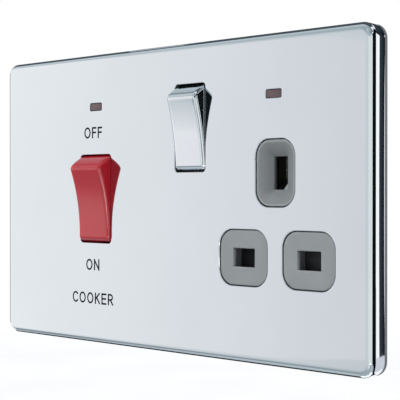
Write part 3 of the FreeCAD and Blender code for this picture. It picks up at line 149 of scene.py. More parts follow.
class FinishSettings(bpy.types.PropertyGroup):
    chrome: colour("Plate chrome", "Polished chrome of the plate", "#e7ecef")
    rocker_chrome: colour("Rocker chrome", "Bright chrome of the socket rocker", "#eef1f4")
    red: colour("Red", "Cooker rocker", "#ab1222")
    grey: colour("Grey", "Socket pads", "#868a8b")
    frame: colour("Frame", "Flange behind the plate", "#6c7074")
    housing: colour("Housing", "Switch housings", "#58595b")
    # On the window rims this black is painted shade for the dark wells behind them
    black: colour("Black", "Shutter and window rims", "#1e1f21")
    cream: colour("Cream", "Rear base", "#d8d3c4")
    nylon: colour("Nylon", "Plungers", "#e3dfd0")
    brass: colour("Brass", "Terminals and contacts", "#c9a45c")
    copper: colour("Copper", "Contact bars and links", "#c07a55")
    zinc: colour("Zinc", "Screws and leads", "#b9bcbb")
    spring: colour("Spring steel", "Springs", "#8b8c8e")
    lens: colour("Lens", "Neon windows", "#5a474a")
    glass: colour("Glass", "Neon lamps", "#e9e4dd")
    resistor: colour("Resistor", "Resistor bodies", "#c9ad7f")
    ink: colour("Ink", "Printed words", "#131416")


class StageSettings(bpy.types.PropertyGroup):
    sky: FloatProperty(name="Soft light", description="Strength of the even light", default=0.56, min=0.0)
    key: FloatProperty(
        name="Key lamp", description="Power of the large soft lamp", default=13.0, min=0.0, unit="POWER"
    )
    fill: FloatProperty(
        name="Fill lamp", description="Power of the weaker lamp at the right", default=4.0, min=0.0,
        unit="POWER",
    )
    floor_drop: length("Floor drop", "Floor below the unit's middle", 900.0)
    lens: FloatProperty(
        name="Lens", description="Focal length of the camera", default=107.75, unit="CAMERA"
    )


class UnitSettings(bpy.types.PropertyGroup):
    plate: PointerProperty(type=PlateSettings)
    rocker: PointerProperty(type=RockerSettings)
    letters: PointerProperty(type=LetterSettings)
    finish: PointerProperty(type=FinishSettings)
    stage: PointerProperty(type=StageSettings)


def settings():
    return bpy.context.scene.cooker_unit


# Materials

MATERIALS = {}

# Darkest and lightest share of the tone, detail of the patches, detail of the grain, strength of the relief
PLASTIC = (0.96, 1.03, 4.0, 3.0, 0.5)
METAL = (0.985, 1.01, 3.0, 4.0, 0.4)
# Where on the noise the darker tone ends and the lighter one starts
TONE_STOPS = (0.35, 0.65)


def add_node(tree, kind, inputs=None, **props):
    """Add a node with its settings; an input given as a socket is linked, any other is set."""
    made = tree.nodes.new(kind)
    for name, value in props.items():
        setattr(made, name, value)
    for key, value in (inputs or {}).items():
        if isinstance(value, bpy.types.NodeSocket):
            tree.links.new(value, made.inputs[key])
        else:
            made.inputs[key].default_value = value
    return made


def per_mm(size):
    """Texture scale on object coordinates in metres for features of a size in millimetres."""
    return 1.0 / (size * MM)


def shade(value, factor):
    """A darker or lighter tone of a linear colour."""
    return (*(min(1.0, c * factor) for c in value[:3]), 1.0)


def two_toned(name, patch, detail, dark, light):
    """A node material whose colour drifts between two tones over patches of a size in millimetres."""
    made = bpy.data.materials.new(name)
    made.use_nodes = True
    tree = made.node_tree
    shader = tree.nodes["Principled BSDF"]
    place = add_node(tree, "ShaderNodeTexCoord").outputs["Object"]
    cloud = add_node(
        tree, "ShaderNodeTexNoise", {"Vector": place, "Scale": per_mm(patch), "Detail": detail}
    )
    tones = add_node(tree, "ShaderNodeValToRGB", {"Fac": cloud.outputs["Fac"]})
    for stop, position, tone in zip(tones.color_ramp.elements, TONE_STOPS, (dark, light)):
        stop.position = position
        stop.color = tone
    tree.links.new(tones.outputs["Color"], shader.inputs["Base Color"])
    return made, tree, shader, place


def surface(name, kind, tone, patch, grain, depth, smooth, rough, stretch=None, sockets=None):
    """A finish: patches of tone, and a finer grain or drawn lines that set its gloss and relief."""
    darker, lighter, patch_detail, grain_detail, strength = kind
    made, tree, shader, place = two_toned(
        name, patch, patch_detail, shade(tone, darker), shade(tone, lighter)
    )
    if stretch:
        place = add_node(tree, "ShaderNodeMapping", {"Vector": place, "Scale": stretch}).outputs["Vector"]
    fine = add_node(
        tree, "ShaderNodeTexNoise", {"Vector": place, "Scale": per_mm(grain), "Detail": grain_detail}
    ).outputs["Fac"]
    gloss = add_node(tree, "ShaderNodeMapRange", {"Value": fine, "To Min": smooth, "To Max": rough})
    relief = add_node(
        tree, "ShaderNodeBump", {"Height": fine, "Strength": strength, "Distance": depth * MM}
    )
    tree.links.new(gloss.outputs["Result"], shader.inputs["Roughness"])
    tree.links.new(relief.outputs["Normal"], shader.inputs["Normal"])
    shader.inputs["Metallic"].default_value = 1.0 if kind is METAL else 0.0
    for socket, value in (sockets or {}).items():
        shader.inputs[socket].default_value = value
    return made


def make_materials():
    """Every finish of the unit, by the name that the pieces use.

    The numbers after a tone are the size of its patches, of its grain and the grain's depth, all in
    millimetres, and its lowest and highest roughness."""
    tone = settings().finish
    satin_red = {"Specular IOR Level": 1.0, "IOR": 1.5}
    return {
        # Polished nickel and chrome on steel: a near-perfect mirror with a faint cool haze
        "plate_chrome": surface(
            "chrome_on_pressed_steel", METAL, tone.chrome, 35.0, 6.0, 0.0004, 0.015, 0.035
        ),
        # Chrome on moulded ABS: as bright as the plate, a little softer from the moulding under it
        "rocker_chrome": surface(
            "chrome_on_moulded_abs", METAL, tone.rocker_chrome, 12.0, 3.0, 0.0004, 0.03, 0.06
        ),
        # Moulded red polycarbonate: a deep clean red with a satin gloss
        "red_plastic": surface(
            "moulded_red_polycarbonate", PLASTIC, tone.red, 9.0, 0.3, 0.002, 0.17, 0.21, sockets=satin_red
        ),
        # Moulded grey polycarbonate: a neutral mid grey, fine spark-eroded satin
        "grey_plastic": surface(
            "moulded_grey_polycarbonate", PLASTIC, tone.grey, 7.0, 0.25, 0.006, 0.4, 0.5
        ),
        # A darker batch of the same plastic for the frame: cool grey, satin
        "frame_plastic": surface(
            "moulded_slate_polycarbonate", PLASTIC, tone.frame, 7.0, 0.25, 0.006, 0.4, 0.5
        ),
        # The same plastic in the earth dish, rougher, with its colour darkened as painted shade for the
        # hollow
        "dish_grey_painted_shade": surface(
            "rougher_grey_polycarbonate_painted_shade", PLASTIC, shade(tone.grey, 0.72), 7.0, 0.25, 0.008, 0.5, 0.62
        ),
        # Moulded charcoal glass-filled nylon: dark grey and dull, so that the gaps read as dark grey
        "housing_plastic": surface(
            "moulded_charcoal_nylon", PLASTIC, tone.housing, 6.0, 0.3, 0.01, 0.5, 0.65
        ),
        # Moulded black glass-filled nylon: nearly black and dull; the neon windows' rims also wear it as
        # painted shade
        "black_plastic": surface("moulded_black_nylon", PLASTIC, tone.black, 6.0, 0.3, 0.01, 0.5, 0.65),
        # Moulded cream urea resin: warm white, hard and slightly glossy
        "base_plastic": surface("moulded_cream_urea", PLASTIC, tone.cream, 14.0, 0.35, 0.008, 0.34, 0.46),
        # Natural nylon: milky and waxy
        "nylon": surface("moulded_natural_nylon", PLASTIC, tone.nylon, 4.0, 0.3, 0.004, 0.35, 0.45),
        # Extruded and cut brass: yellow with fine drawn lines
        "brass": surface("extruded_brass", METAL, tone.brass, 6.0, 0.35, 0.004, 0.22, 0.38, (1.0, 1.0, 0.08)),
        # Rolled copper strip: warm and lightly tarnished
        "copper": surface("rolled_copper", METAL, tone.copper, 4.0, 0.3, 0.003, 0.25, 0.42, (0.1, 1.0, 1.0)),
        # Zinc plate on steel: bright bluish grey with a fine crystal bloom
        "zinc_steel": surface("zinc_plated_steel", METAL, tone.zinc, 1.5, 0.4, 0.003, 0.2, 0.36),
        # Drawn spring wire: dark and smooth
        "spring_steel": surface("drawn_spring_steel", METAL, tone.spring, 3.0, 0.3, 0.002, 0.24, 0.36),
        # Tinted clear polycarbonate: dark mauve with a clear gloss
        "smoked_lens": surface("smoked_clear_polycarbonate", PLASTIC, tone.lens, 3.0, 0.8, 0.001, 0.1, 0.18),
        # Blown glass: clear with a pale cast
        "lamp_glass": surface(
            "blown_glass", PLASTIC, tone.glass, 4.0, 1.0, 0.0005, 0.03, 0.08,
            sockets={"Transmission Weight": 0.7},
        ),
        # Dipped resistor coat: tan lacquer
        "resistor_body": surface(
            "dipped_resistor_lacquer", PLASTIC, tone.resistor, 1.5, 0.3, 0.005, 0.3, 0.45
        ),
        # Screen-printed ink: charcoal, dead matt, a little thin in places
        "ink": surface(
            "screen_printed_ink", PLASTIC, tone.ink, 0.8, 0.15, 0.002, 0.6, 0.8,
            sockets={"Specular IOR Level": 0.1},
        ),
    }


class UNIT_OT_finishes(bpy.types.Operator):
    """Make every finish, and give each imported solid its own"""
    bl_idname = "cooker_unit.finishes"
    bl_label = "Finishes"

    def execute(self, context):
        MATERIALS.update(make_materials())
        slots = {part["node"]: part["material_slot"] for part in frame["record"]["subparts"]}
        for node, solid in frame["nodes"].items():
            solid.data.materials.clear()
            solid.data.materials.append(MATERIALS[slots[node]])
        return {"FINISHED"}


# Meshes

def rounded_rect(place, size, r):
    """Points of a rectangle with rounded corners, with a support point beside each end of a corner."""
    points = []
    for number, (sx, sz) in enumerate(((1, 1), (-1, 1), (-1, -1), (1, -1))):
        cx = place[0] + sx * (size[0] / 2 - r)
        cz = place[1] + sz * (size[1] / 2 - r)
        turns = [math.radians(90.0 * number + 90.0 * n / CORNER_STEPS) for n in range(CORNER_STEPS + 1)]
        arc = [(cx + r * math.cos(turn), cz + r * math.sin(turn)) for turn in turns]
        (ax, az), (bx, bz) = arc[0], arc[-1]
        before = (ax + SUPPORT * math.sin(turns[0]), az - SUPPORT * math.cos(turns[0]))
        after = (bx - SUPPORT * math.sin(turns[-1]), bz + SUPPORT * math.cos(turns[-1]))
        points += [before, *arc, after]
    return points


def quarter(r):
    """Stations round an edge as (short of the side, below the face), from the face to the side."""
    turns = [math.pi / 2 * step / EDGE_STEPS for step in range(EDGE_STEPS + 1)]
    return [(r * (1 - math.sin(turn)), r * (1 - math.cos(turn))) for turn in turns]


def loop_at(bm, points, y):
    """Vertices at (x, z) points in the plane at y, in millimetres."""
    return [bm.verts.new((x * MM, y * MM, z * MM)) for x, z in points]


def ring(bm, place, size, r, y, grow=0.0):
    """A loop round a rectangle with rounded corners, grown all round by a width."""
    return loop_at(bm, rounded_rect(place, [side + 2 * grow for side in size], r + grow), y)


def bridge(bm, first, second):
    """Quads between two rings of the same count."""
    count = len(first)
    for number in range(count):
        other = (number + 1) % count
        bm.faces.new((first[number], first[other], second[other], second[number]))


def bridge_all(bm, rings):
    for first, second in zip(rings, rings[1:]):
        bridge(bm, first, second)


def inside(x, z, polygon):
    """Whether a point lies in a polygon of (x, z) points."""
    found = False
    for (ax, az), (bx, bz) in zip(polygon, polygon[1:] + polygon[:1]):
        if (az > z) != (bz > z) and x < ax + (z - az) * (bx - ax) / (bz - az):
            found = not found
    return found


def fill(bm, outer, holes):
    """Triangles between an outer ring and the rings of its holes, all in one plane of constant Y."""
    loops = [outer, *holes]
    verts = [vert for loop in loops for vert in loop]
    flat = [Vector((vert.co.x / MM, vert.co.z / MM)) for vert in verts]
    edges = []
    start = 0
    for loop in loops:
        count = len(loop)
        edges += [(start + number, start + (number + 1) % count) for number in range(count)]
        start += count
    within_edges = 1
    nearest = 1e-7
    points, _, faces, origins, _, _ = delaunay_2d_cdt(flat, edges, [], within_edges, nearest)
    outlines = [[(vert.co.x / MM, vert.co.z / MM) for vert in loop] for loop in loops]
    for face in faces:
        x = sum(points[index].x for index in face) / len(face)
        z = sum(points[index].y for index in face) / len(face)
        if inside(x, z, outlines[0]) and not any(inside(x, z, hole) for hole in outlines[1:]):
            bm.faces.new([verts[origins[index][0]] for index in face])


def add_box(bm, x0, x1, y0, y1, z0, z1):
    corners = [Vector((x, y, z)) * MM for x in (x0, x1) for y in (y0, y1) for z in (z0, z1)]
    verts = [bm.verts.new(corner) for corner in corners]
    for face in ((0, 1, 3, 2), (4, 6, 7, 5), (0, 4, 5, 1), (2, 3, 7, 6), (0, 2, 6, 4), (1, 5, 7, 3)):
        bm.faces.new([verts[index] for index in face])


def add_rod(bm, start, end, r, sides=32):
    """A closed cylinder between two points in millimetres."""
    axis = Vector(end) - Vector(start)
    middle = (Vector(end) + Vector(start)) / 2
    turn = axis.to_track_quat("Z", "Y").to_matrix().to_4x4()
    bmesh.ops.create_cone(
        bm, cap_ends=True, segments=sides, radius1=r * MM, radius2=r * MM, depth=axis.length * MM,
        matrix=Matrix.Translation(middle * MM) @ turn,
    )


def smooth_shaded(bm):
    """Shade the faces smoothly and keep only the real corners sharp."""
    for face in bm.faces:
        face.smooth = True
    for edge in bm.edges:
        edge.smooth = len(edge.link_faces) == 2 and edge.calc_face_angle(0.0) < SHARP


def settle(bm):
    """Turn the faces outwards, then shade them."""
    bmesh.ops.recalc_face_normals(bm, faces=bm.faces)
    smooth_shaded(bm)


def mesh_from(bm, name):
    mesh = bpy.data.meshes.new(name)
    bm.to_mesh(mesh)
    bm.free()
    return mesh


def object_of(name, data):
    """An object in the scene, at the origin."""
    made = bpy.data.objects.new(name, data)
    bpy.context.scene.collection.objects.link(made)
    return made


def piece_from(bm, name, finish, body, replaced=()):
    """A finished piece: its mesh, material and body, with the solids that it stands for hidden."""
    mesh = mesh_from(bm, name)
    mesh.materials.append(MATERIALS[finish])
    made = object_of(name, mesh)
    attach(made, body)
    if replaced:
        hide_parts(*replaced)
    return made


def made_real(holder, modifier):
    """The plain mesh that a modifier gives its holder, with both taken away after."""
    bpy.context.view_layer.update()
    shown = holder.evaluated_get(bpy.context.evaluated_depsgraph_get())
    mesh = bpy.data.meshes.new_from_object(shown)
    holder.modifiers.remove(modifier)
    bpy.data.objects.remove(holder)
    return mesh


def open_tree(name, inputs, output):
    """A node tree with named inputs and one output, and the sockets that give those inputs."""
    tree = bpy.data.node_groups.new(name, "GeometryNodeTree")
    for label, kind in inputs.items():
        tree.interface.new_socket(label, in_out="INPUT", socket_type="NodeSocket" + kind)
    tree.interface.new_socket(output, in_out="OUTPUT", socket_type="NodeSocketGeometry")
    return tree, add_node(tree, "NodeGroupInput").outputs


def close_tree(tree, geometry, finish):
    """End a node tree in plain geometry with its finish on it."""
    real = add_node(tree, "GeometryNodeRealizeInstances", {"Geometry": geometry})
    coat = add_node(
        tree, "GeometryNodeSetMaterial", {"Geometry": real.outputs["Geometry"], "Material": finish}
    )
    add_node(tree, "NodeGroupOutput", {0: coat.outputs["Geometry"]})
    return tree


def grown(name, data, tree, values):
    """What a node tree grows from a curve or points, with its named inputs set before it first runs."""
    holder = object_of(name, data)
    grow = holder.modifiers.new(tree.name, "NODES")
    grow.node_group = tree
    for item in tree.interface.items_tree:
        if item.in_out == "INPUT" and item.name in values:
            grow[item.identifier] = values[item.name]
    mesh = made_real(holder, grow)
    bm = bmesh.new()
    bm.from_mesh(mesh)
    bpy.data.meshes.remove(mesh)
    return bm


# Front plate

def rim_profile(plate):
    """Stations of the folded rim as (inset, y, turn), from the flat face to the rim's end."""
    bend = plate.bend / MM
    roll = plate.roll / MM
    first = math.pi / 2 - plate.spring_back
    last = math.pi / 2 + plate.lean
    start = bend * (1 - math.sin(plate.roll_turn))
    stations = [(start + roll + SUPPORT, FRONT_Y, 0.0)]
    # The press leaves the face falling away slightly before the fold
    for step in range(BEND_STEPS + 1):
        share = step / BEND_STEPS
        drop = roll * math.tan(plate.roll_turn) / 3 * share ** 3
        stations.append((start + roll * (1 - share), FRONT_Y + drop, plate.roll_turn * share ** 2))
    fallen = stations[-1][1] - bend * (1 - math.cos(plate.roll_turn))
    for step in range(1, BEND_STEPS + 1):
        turn = plate.roll_turn + (first - plate.roll_turn) * step / BEND_STEPS
        stations.append((bend * (1 - math.sin(turn)), fallen + bend * (1 - math.cos(turn)), turn))
    inset, y, _ = stations[-1]
    run = (RIM_Y - y) / BEND_STEPS
    for step in range(1, BEND_STEPS + 1):
        turn = first + (last - first) * step / BEND_STEPS
        middle = first + (last - first) * (step - 0.5) / BEND_STEPS
        inset -= math.cos(middle) / math.sin(middle) * run
        y += run
        stations.append((inset, y, turn))
    over = max(0.0, -min(inset for inset, y, turn in stations))
    return [(inset + over, y, turn) for inset, y, turn in stations]


class UNIT_OT_plate(bpy.types.Operator):
    """Press the chrome plate: folded rim, rounded corners and punched openings"""
    bl_idname = "cooker_unit.plate"
    bl_label = "Front plate"

    def execute(self, context):
        plate = settings().plate
        low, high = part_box("front_plate")
        size = ((high[0] - low[0]) / MM, (high[2] - low[2]) / MM)
        sheet = plate.sheet / MM
        corner = plate.corner / MM
        punch = plate.punch / MM
        middle = (0.0, 0.0)
        bm = bmesh.new()
        outer = []
        inner = []
        for inset, y, turn in rim_profile(plate):
            deeper = inset + sheet * math.sin(turn)
            outer.append(ring(bm, middle, size, corner, y, -inset))
            inner.append(ring(bm, middle, size, corner, y + sheet * math.cos(turn), -deeper))
        bridge_all(bm, outer)
        bridge_all(bm, inner)
        bridge(bm, outer[-1], inner[-1])
        openings = [
            (COOKER_PLACE, COOKER_APERTURE, APERTURE_CORNER),
            (SOCKET_SWITCH_PLACE, SOCKET_APERTURE, APERTURE_CORNER),
            *[(place, LINE_PAD, PAD_CORNER) for place in LINE_PINS],
            (EARTH_PIN, EARTH_PAD, PAD_CORNER),
            *[(place, NEON_WINDOW, NEON_CORNER) for place in NEONS],
        ]
        lip = [(punch + SUPPORT, FRONT_Y)]
        lip += [(grow, FRONT_Y + fall) for grow, fall in quarter(punch)]
        lip.append((0.0, FRONT_Y + sheet))
        fronts = []
        backs = []
        for place, opening, r in openings:
            rings = [ring(bm, place, opening, r, y, grow) for grow, y in lip]
            bridge_all(bm, rings)
            fronts.append(rings[0])
            backs.append(rings[-1])
        fill(bm, outer[0], fronts)
        fill(bm, inner[0], backs)
        settle(bm)
        piece_from(bm, "chrome_plate", "plate_chrome", "unit", ("front_plate",))
        return {"FINISHED"}


# Rockers, each about its own pivot, in millimetres

ROCKER_GAP = 0.22
ROCKER_TAIL = 1.0
ROCKER_WALL = 1.6
FACE_STEPS = 16
RIDGE_STEPS = 8
END_STEPS = 12
WING_Y = (-0.4, 2.5)
WING_Z = (-3.5, 3.5)
TRUNNION_R = 1.2
TRUNNION_IN = 1.0
TRUNNION_OUT = 2.6
LEG_R = 2.6
LEG_END = 8.0
# Piece, place, aperture, reach of its wings, places of its legs, their tops, and finish
ROCKERS = {
    "cooker": ("red_rocker", COOKER_PLACE, COOKER_APERTURE, 12.0, (-9.0, 9.0), -0.4, "red_plastic"),
    "socket": ("chrome_rocker", SOCKET_SWITCH_PLACE, SOCKET_APERTURE, 0.0, (0.0,), -5.4, "rocker_chrome"),
}


def rocker_stations(half, rise, dish, ridge):
    """The outline as (y, z, normal y, normal z), from the low tail over the face to the high tail."""
    r = math.hypot(half, rise)
    face_r = (half * half + dish * dish) / (2 * dish)
    face_y = dish - rise - face_r
    end_turn = math.atan2(half, rise)
    trim = ridge * math.tan((end_turn + math.asin(half / face_r)) / 2)
    upper = []
    for step in range(FACE_STEPS + 1):
        z = (half - trim) * step / FACE_STEPS
        lean = math.asin(z / face_r)
        upper.append((face_y + face_r * math.cos(lean), z, -math.cos(lean), -math.sin(lean)))
    y, z, ny, nz = upper[-1]
    centre_y = y - ny * ridge
    centre_z = z - nz * ridge
    start = math.atan2(nz, -ny)
    for step in range(1, RIDGE_STEPS + 1):
        turn = start + (end_turn - start) * step / RIDGE_STEPS
        ny, nz = -math.cos(turn), math.sin(turn)
        upper.append((centre_y + ridge * ny, centre_z + ridge * nz, ny, nz))
    first = end_turn + trim / r
    last = math.pi / 2 + math.asin(ROCKER_TAIL / r)
    for step in range(1, END_STEPS + 1):
        turn = first + (last - first) * step / END_STEPS
        ny, nz = -math.cos(turn), math.sin(turn)
        upper.append((r * ny, r * nz, ny, nz))
    lower = [(y, -z, ny, -nz) for y, z, ny, nz in upper[:0:-1]]
    return lower + upper


def rocker_shell(bm, half, rise, dish, side, edge, ridge):
    """A hollow rocker with rounded long edges."""
    stations = rocker_stations(half, rise, dish, ridge)
    across_half = [(side - fall, depth) for depth, fall in quarter(edge)]
    across_half.append((side - edge - SUPPORT, 0.0))
    rows = across_half + [(-x, depth) for x, depth in reversed(across_half)]
    grid = []
    for y, z, ny, nz in stations:
        grid.append([bm.verts.new((x * MM, (y - ny * d) * MM, (z - nz * d) * MM)) for x, d in rows])
    for first, second in zip(grid, grid[1:]):
        for number in range(len(rows) - 1):
            bm.faces.new((first[number], first[number + 1], second[number + 1], second[number]))
    flats = []
    depth = edge + SUPPORT / 2
    for sign in (1, -1):
        flat = []
        for y, z, ny, nz in stations:
            flat.append(bm.verts.new((sign * side * MM, (y - ny * depth) * MM, (z - nz * depth) * MM)))
        border = [line[0] if sign > 0 else line[-1] for line in grid]
        for number in range(len(flat) - 1):
            bm.faces.new((border[number], border[number + 1], flat[number + 1], flat[number]))
        bm.faces.new(flat)
        flats.append(flat)
    right, left = flats
    under = bm.faces.new([right[0], *grid[0], left[0], left[-1], *reversed(grid[-1]), right[-1]])
    bmesh.ops.recalc_face_normals(bm, faces=bm.faces)
    bmesh.ops.inset_individual(bm, faces=[under], thickness=ROCKER_WALL * MM, use_even_offset=True)
    pushed = bmesh.ops.extrude_discrete_faces(bm, faces=[under])["faces"][0]
    hollow = rise - dish + ROCKER_TAIL - ROCKER_WALL
    bmesh.ops.translate(bm, verts=pushed.verts, vec=Vector((0.0, -hollow * MM, 0.0)))


def add_pivots(bm, side, reach, legs, top):
    """The trunnions, wings and plunger legs inside the housing."""
    for sign in (-1, 1):
        if reach > side:
            add_box(bm, *sorted((sign * side, sign * reach)), *WING_Y, *WING_Z)
        start = sign * (side - TRUNNION_IN)
        end = sign * (reach + TRUNNION_OUT)
        add_rod(bm, (start, 0, 0), (end, 0, 0), TRUNNION_R)
    for leg in legs:
        add_rod(bm, (leg, top, 0), (leg, LEG_END, 0), LEG_R)


class UNIT_OT_rockers(bpy.types.Operator):
    """Mould both rockers in their ON position, lower end in"""
    bl_idname = "cooker_unit.rockers"
    bl_label = "Rockers"

    def execute(self, context):
        rocker = settings().rocker
        for kind, (name, place, aperture, reach, legs, top, finish) in ROCKERS.items():
            half, rise, dish = [getattr(rocker, f"{kind}_{size}") / MM for size in ("half", "rise", "dish")]
            side = aperture[0] / 2 - ROCKER_GAP
            bm = bmesh.new()
            rocker_shell(bm, half, rise, dish, side, rocker.edge / MM, rocker.ridge / MM)
            add_pivots(bm, side, max(side, reach), legs, top)
            settle(bm)
            seat = Matrix.Translation(Vector((place[0], PIVOT_Y, place[1])) * MM)
            bmesh.ops.transform(bm, verts=bm.verts, matrix=seat @ Matrix.Rotation(rocker.tilt, 4, "X"))
            piece_from(bm, name, finish, f"{kind}_rocker_body", (f"{kind}_rocker",))
        return {"FINISHED"}


# Socket pads and the sheet behind them, in millimetres

PAD_CORNER = 4.6
PAD_GAP = 0.24
PAD_WALL = 1.5
PAD_FRONT_Y = FRONT_Y + 0.3
PAD_EDGE = 0.2
FLAT_WALL = 1.1
SLOT_LIP = 0.3
LIP_FLAT = 0.3
LIP_CORNER = 0.2
SLOT_CORNER = 0.3
HOLLOW_MORE = 2.4
HOLLOW_CORNER = 0.5
DISH_RIM = 0.62
DISH_DEPTH = 2.2
DISH_WALL = 2.6
DISH_STEPS = 10
# A quick roll over the rim takes an even share of the fall, and a bowl that steepens takes the rest
DISH_ROLL = 0.3
DISH_CURVE = 1.6
COVER_FRONT_Y = -3.2
COVER_BACK_Y = -1.2
COVER_LOW_Z = -25.8
# The sheet's back stands just inside the backs of the pads, so that no two faces share a plane
SHEET_BACK_Y = COVER_BACK_Y - 0.05
# The inner corner of the sheet's step, clear of the frame
COVER_STEP = (51.9, -8.4)
# The small web across the lower right corner of the earth slot
WEB_WIDE = 1.5
WEB_HIGH = 1.7
WEB_Y = (-3.35, -2.7)


def add_pad(bm, place, size, slot, dished):
    """A hollow pad: side, rounded rim, face or dish, slot, and the hollow behind its front wall."""
    size = [side - 2 * PAD_GAP for side in size]
    corner = PAD_CORNER - PAD_GAP
    rings = [ring(bm, place, size, corner, COVER_BACK_Y)]
    for inset, fall in reversed(quarter(PAD_EDGE)):
        rings.append(ring(bm, place, size, corner, PAD_FRONT_Y + fall, -inset))
    dish = []
    if dished:
        dish.append(ring(bm, place, size, corner, PAD_FRONT_Y, -DISH_RIM))
        mouth = [side - 2 * DISH_RIM for side in size]
        for step in range(1, DISH_STEPS + 1):
            share = step / DISH_STEPS
            fall = DISH_DEPTH * (DISH_ROLL * share + (1 - DISH_ROLL) * share ** DISH_CURVE)
            narrowed = [wide + (narrow - wide) * share for wide, narrow in zip(mouth, slot)]
            r = (corner - DISH_RIM) + (SLOT_CORNER - corner + DISH_RIM) * share
            dish.append(ring(bm, place, narrowed, r, PAD_FRONT_Y + fall))
        rings += dish
        inner = PAD_FRONT_Y + DISH_WALL
    else:
        flat = [side + 2 * SLOT_LIP + LIP_FLAT for side in slot]
        rings.append(ring(bm, place, flat, SLOT_LIP + LIP_CORNER, PAD_FRONT_Y))
        for grow, fall in quarter(SLOT_LIP):
            rings.append(ring(bm, place, slot, LIP_CORNER, PAD_FRONT_Y + fall, grow))
        inner = PAD_FRONT_Y + FLAT_WALL
    rings.append(ring(bm, place, slot, SLOT_CORNER, inner))
    hollow = [side + HOLLOW_MORE for side in slot]
    for y in (inner, COVER_BACK_Y):
        rings.append(ring(bm, place, hollow, HOLLOW_CORNER, y))
    bridge_all(bm, rings)
    bridge(bm, rings[-1], rings[0])
    # The dish's faces take the second finish, a darker grey painted as shade in the hollow
    dish_painted_shade_verts = {vert for loop in dish for vert in loop}
    for face in bm.faces:
        if all(vert in dish_painted_shade_verts for vert in face.verts):
            face.material_index = 1


class UNIT_OT_socket(bpy.types.Operator):
    """Mould the socket's grey pads, their slots and the sheet behind them"""
    bl_idname = "cooker_unit.socket"
    bl_label = "Socket pads"

    def execute(self, context):
        bm = bmesh.new()
        for place in LINE_PINS:
            add_pad(bm, place, LINE_PAD, LINE_SLOT, False)
        add_pad(bm, EARTH_PIN, EARTH_PAD, EARTH_SLOT, True)
        x = EARTH_PIN[0] + EARTH_SLOT[0] / 2
        z = EARTH_PIN[1] - EARTH_SLOT[1] / 2
        ends = []
        for y in WEB_Y:
            ends.append(loop_at(bm, [(x, z), (x - WEB_WIDE, z), (x, z + WEB_HIGH)], y))
            bm.faces.new(ends[-1])
        bridge(bm, *ends)
        low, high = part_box("socket_cover")
        x0, x1, z1 = low[0] / MM, high[0] / MM, high[2] / MM
        step_x, step_z = COVER_STEP
        outline = [(x0, COVER_LOW_Z), (x1, COVER_LOW_Z), (x1, step_z), COVER_STEP, (step_x, z1), (x0, z1)]
        pads = [(place, LINE_PAD) for place in LINE_PINS] + [(EARTH_PIN, EARTH_PAD)]
        sheets = []
        for y in (COVER_FRONT_Y, SHEET_BACK_Y):
            border = loop_at(bm, outline, y)
            # Each hole's edge lies inside the wall of the pad that stands in it
            holes = [ring(bm, place, size, PAD_CORNER, y, -PAD_WALL / 2) for place, size in pads]
            fill(bm, border, holes)
            sheets.append([border, *holes])
        for front, back in zip(*sheets):
            bridge(bm, front, back)
        settle(bm)
        made = piece_from(bm, "socket_pads", "grey_plastic", "unit", ("socket_cover",))
        # The second finish is the darker dish grey, painted shade for the earth dish
        made.data.materials.append(MATERIALS["dish_grey_painted_shade"])
        return {"FINISHED"}


# Printed words

# Each word's middle in x and z, and the gap between its letters, in millimetres
WORDS = {
    "OFF": ((-30.2, 19.7), 0.60),
    "ON": ((-30.4, -19.7), 0.62),
    "COOKER": ((-30.5, -29.7), 0.64),
}
STROKE_SIDES = 10


def oval(width, start, end, steps):
    """Points along an oval as wide as given and one high, from one angle to another in degrees."""
    turns = [math.radians(start + (end - start) * step / steps) for step in range(steps + 1)]
    return [(width / 2 + width / 2 * math.cos(turn), 0.5 + 0.5 * math.sin(turn)) for turn in turns]


def bow(width, low, high, straight, steps=10):
    """The round bow of an R, from the stem's top round to the stem's middle."""
    middle = (low + high) / 2
    points = [(0.0, high)]
    for step in range(steps + 1):
        turn = math.radians(90.0 - 180.0 * step / steps)
        x = straight + (width - straight) * math.cos(turn)
        points.append((x, middle + (high - low) / 2 * math.sin(turn)))
    points.append((0.0, low))
    return points


def letter_strokes():
    """Plain capitals as open or round strokes, one high, with each one's width."""
    stem = [(0, 0), (0, 1)]
    return {
        "O": (0.84, [oval(0.84, 90.0, 450.0, 28)]),
        "F": (0.52, [stem, [(0, 1), (0.52, 1)], [(0, 0.52), (0.46, 0.52)]]),
        "N": (0.70, [stem, [(0, 1), (0.70, 0)], [(0.70, 0), (0.70, 1)]]),
        "C": (0.72, [oval(0.84, 45.0, 315.0, 22)]),
        "K": (0.64, [stem, [(0.60, 1), (0.0, 0.40)], [(0.20, 0.60), (0.64, 0)]]),
        "E": (0.60, [stem, [(0, 1), (0.60, 1)], [(0, 0.52), (0.54, 0.52)], [(0, 0), (0.60, 0)]]),
        "R": (0.66, [stem, bow(0.62, 0.46, 1.0, 0.32), [(0.30, 0.46), (0.66, 0)]]),
    }


def run_on(points, reach):
    """An open stroke that runs on a little at both ends, so that corners are full."""
    longer = list(points)
    for end, before in ((0, 1), (-1, -2)):
        run = Vector(longer[end]) - Vector(longer[before])
        longer[end] = Vector(longer[end]) + run.normalized() * reach
    return longer


def drawn_word(word, place, gap, tall, stroke):
    """A word as a curve of strokes on the plate's face."""
    shapes = letter_strokes()
    drawn = bpy.data.curves.new(word, "CURVE")
    drawn.dimensions = "3D"
    advance = [shapes[letter][0] * tall + stroke for letter in word]
    left = place[0] - (sum(advance) + gap * (len(word) - 1)) / 2
    for letter, wide in zip(word, advance):
        closed = letter == "O"
        for points in shapes[letter][1]:
            used = points[:-1] if closed else run_on(points, stroke / 2 / tall)
            spline = drawn.splines.new("POLY")
            spline.points.add(len(used) - 1)
            for point, (px, pz) in zip(spline.points, used):
                x = left + stroke / 2 + px * tall
                z = place[1] - tall / 2 + pz * tall
                point.co = (x * MM, FRONT_Y * MM, z * MM, 1.0)
            spline.use_cyclic_u = closed
        left += wide + gap
    return drawn


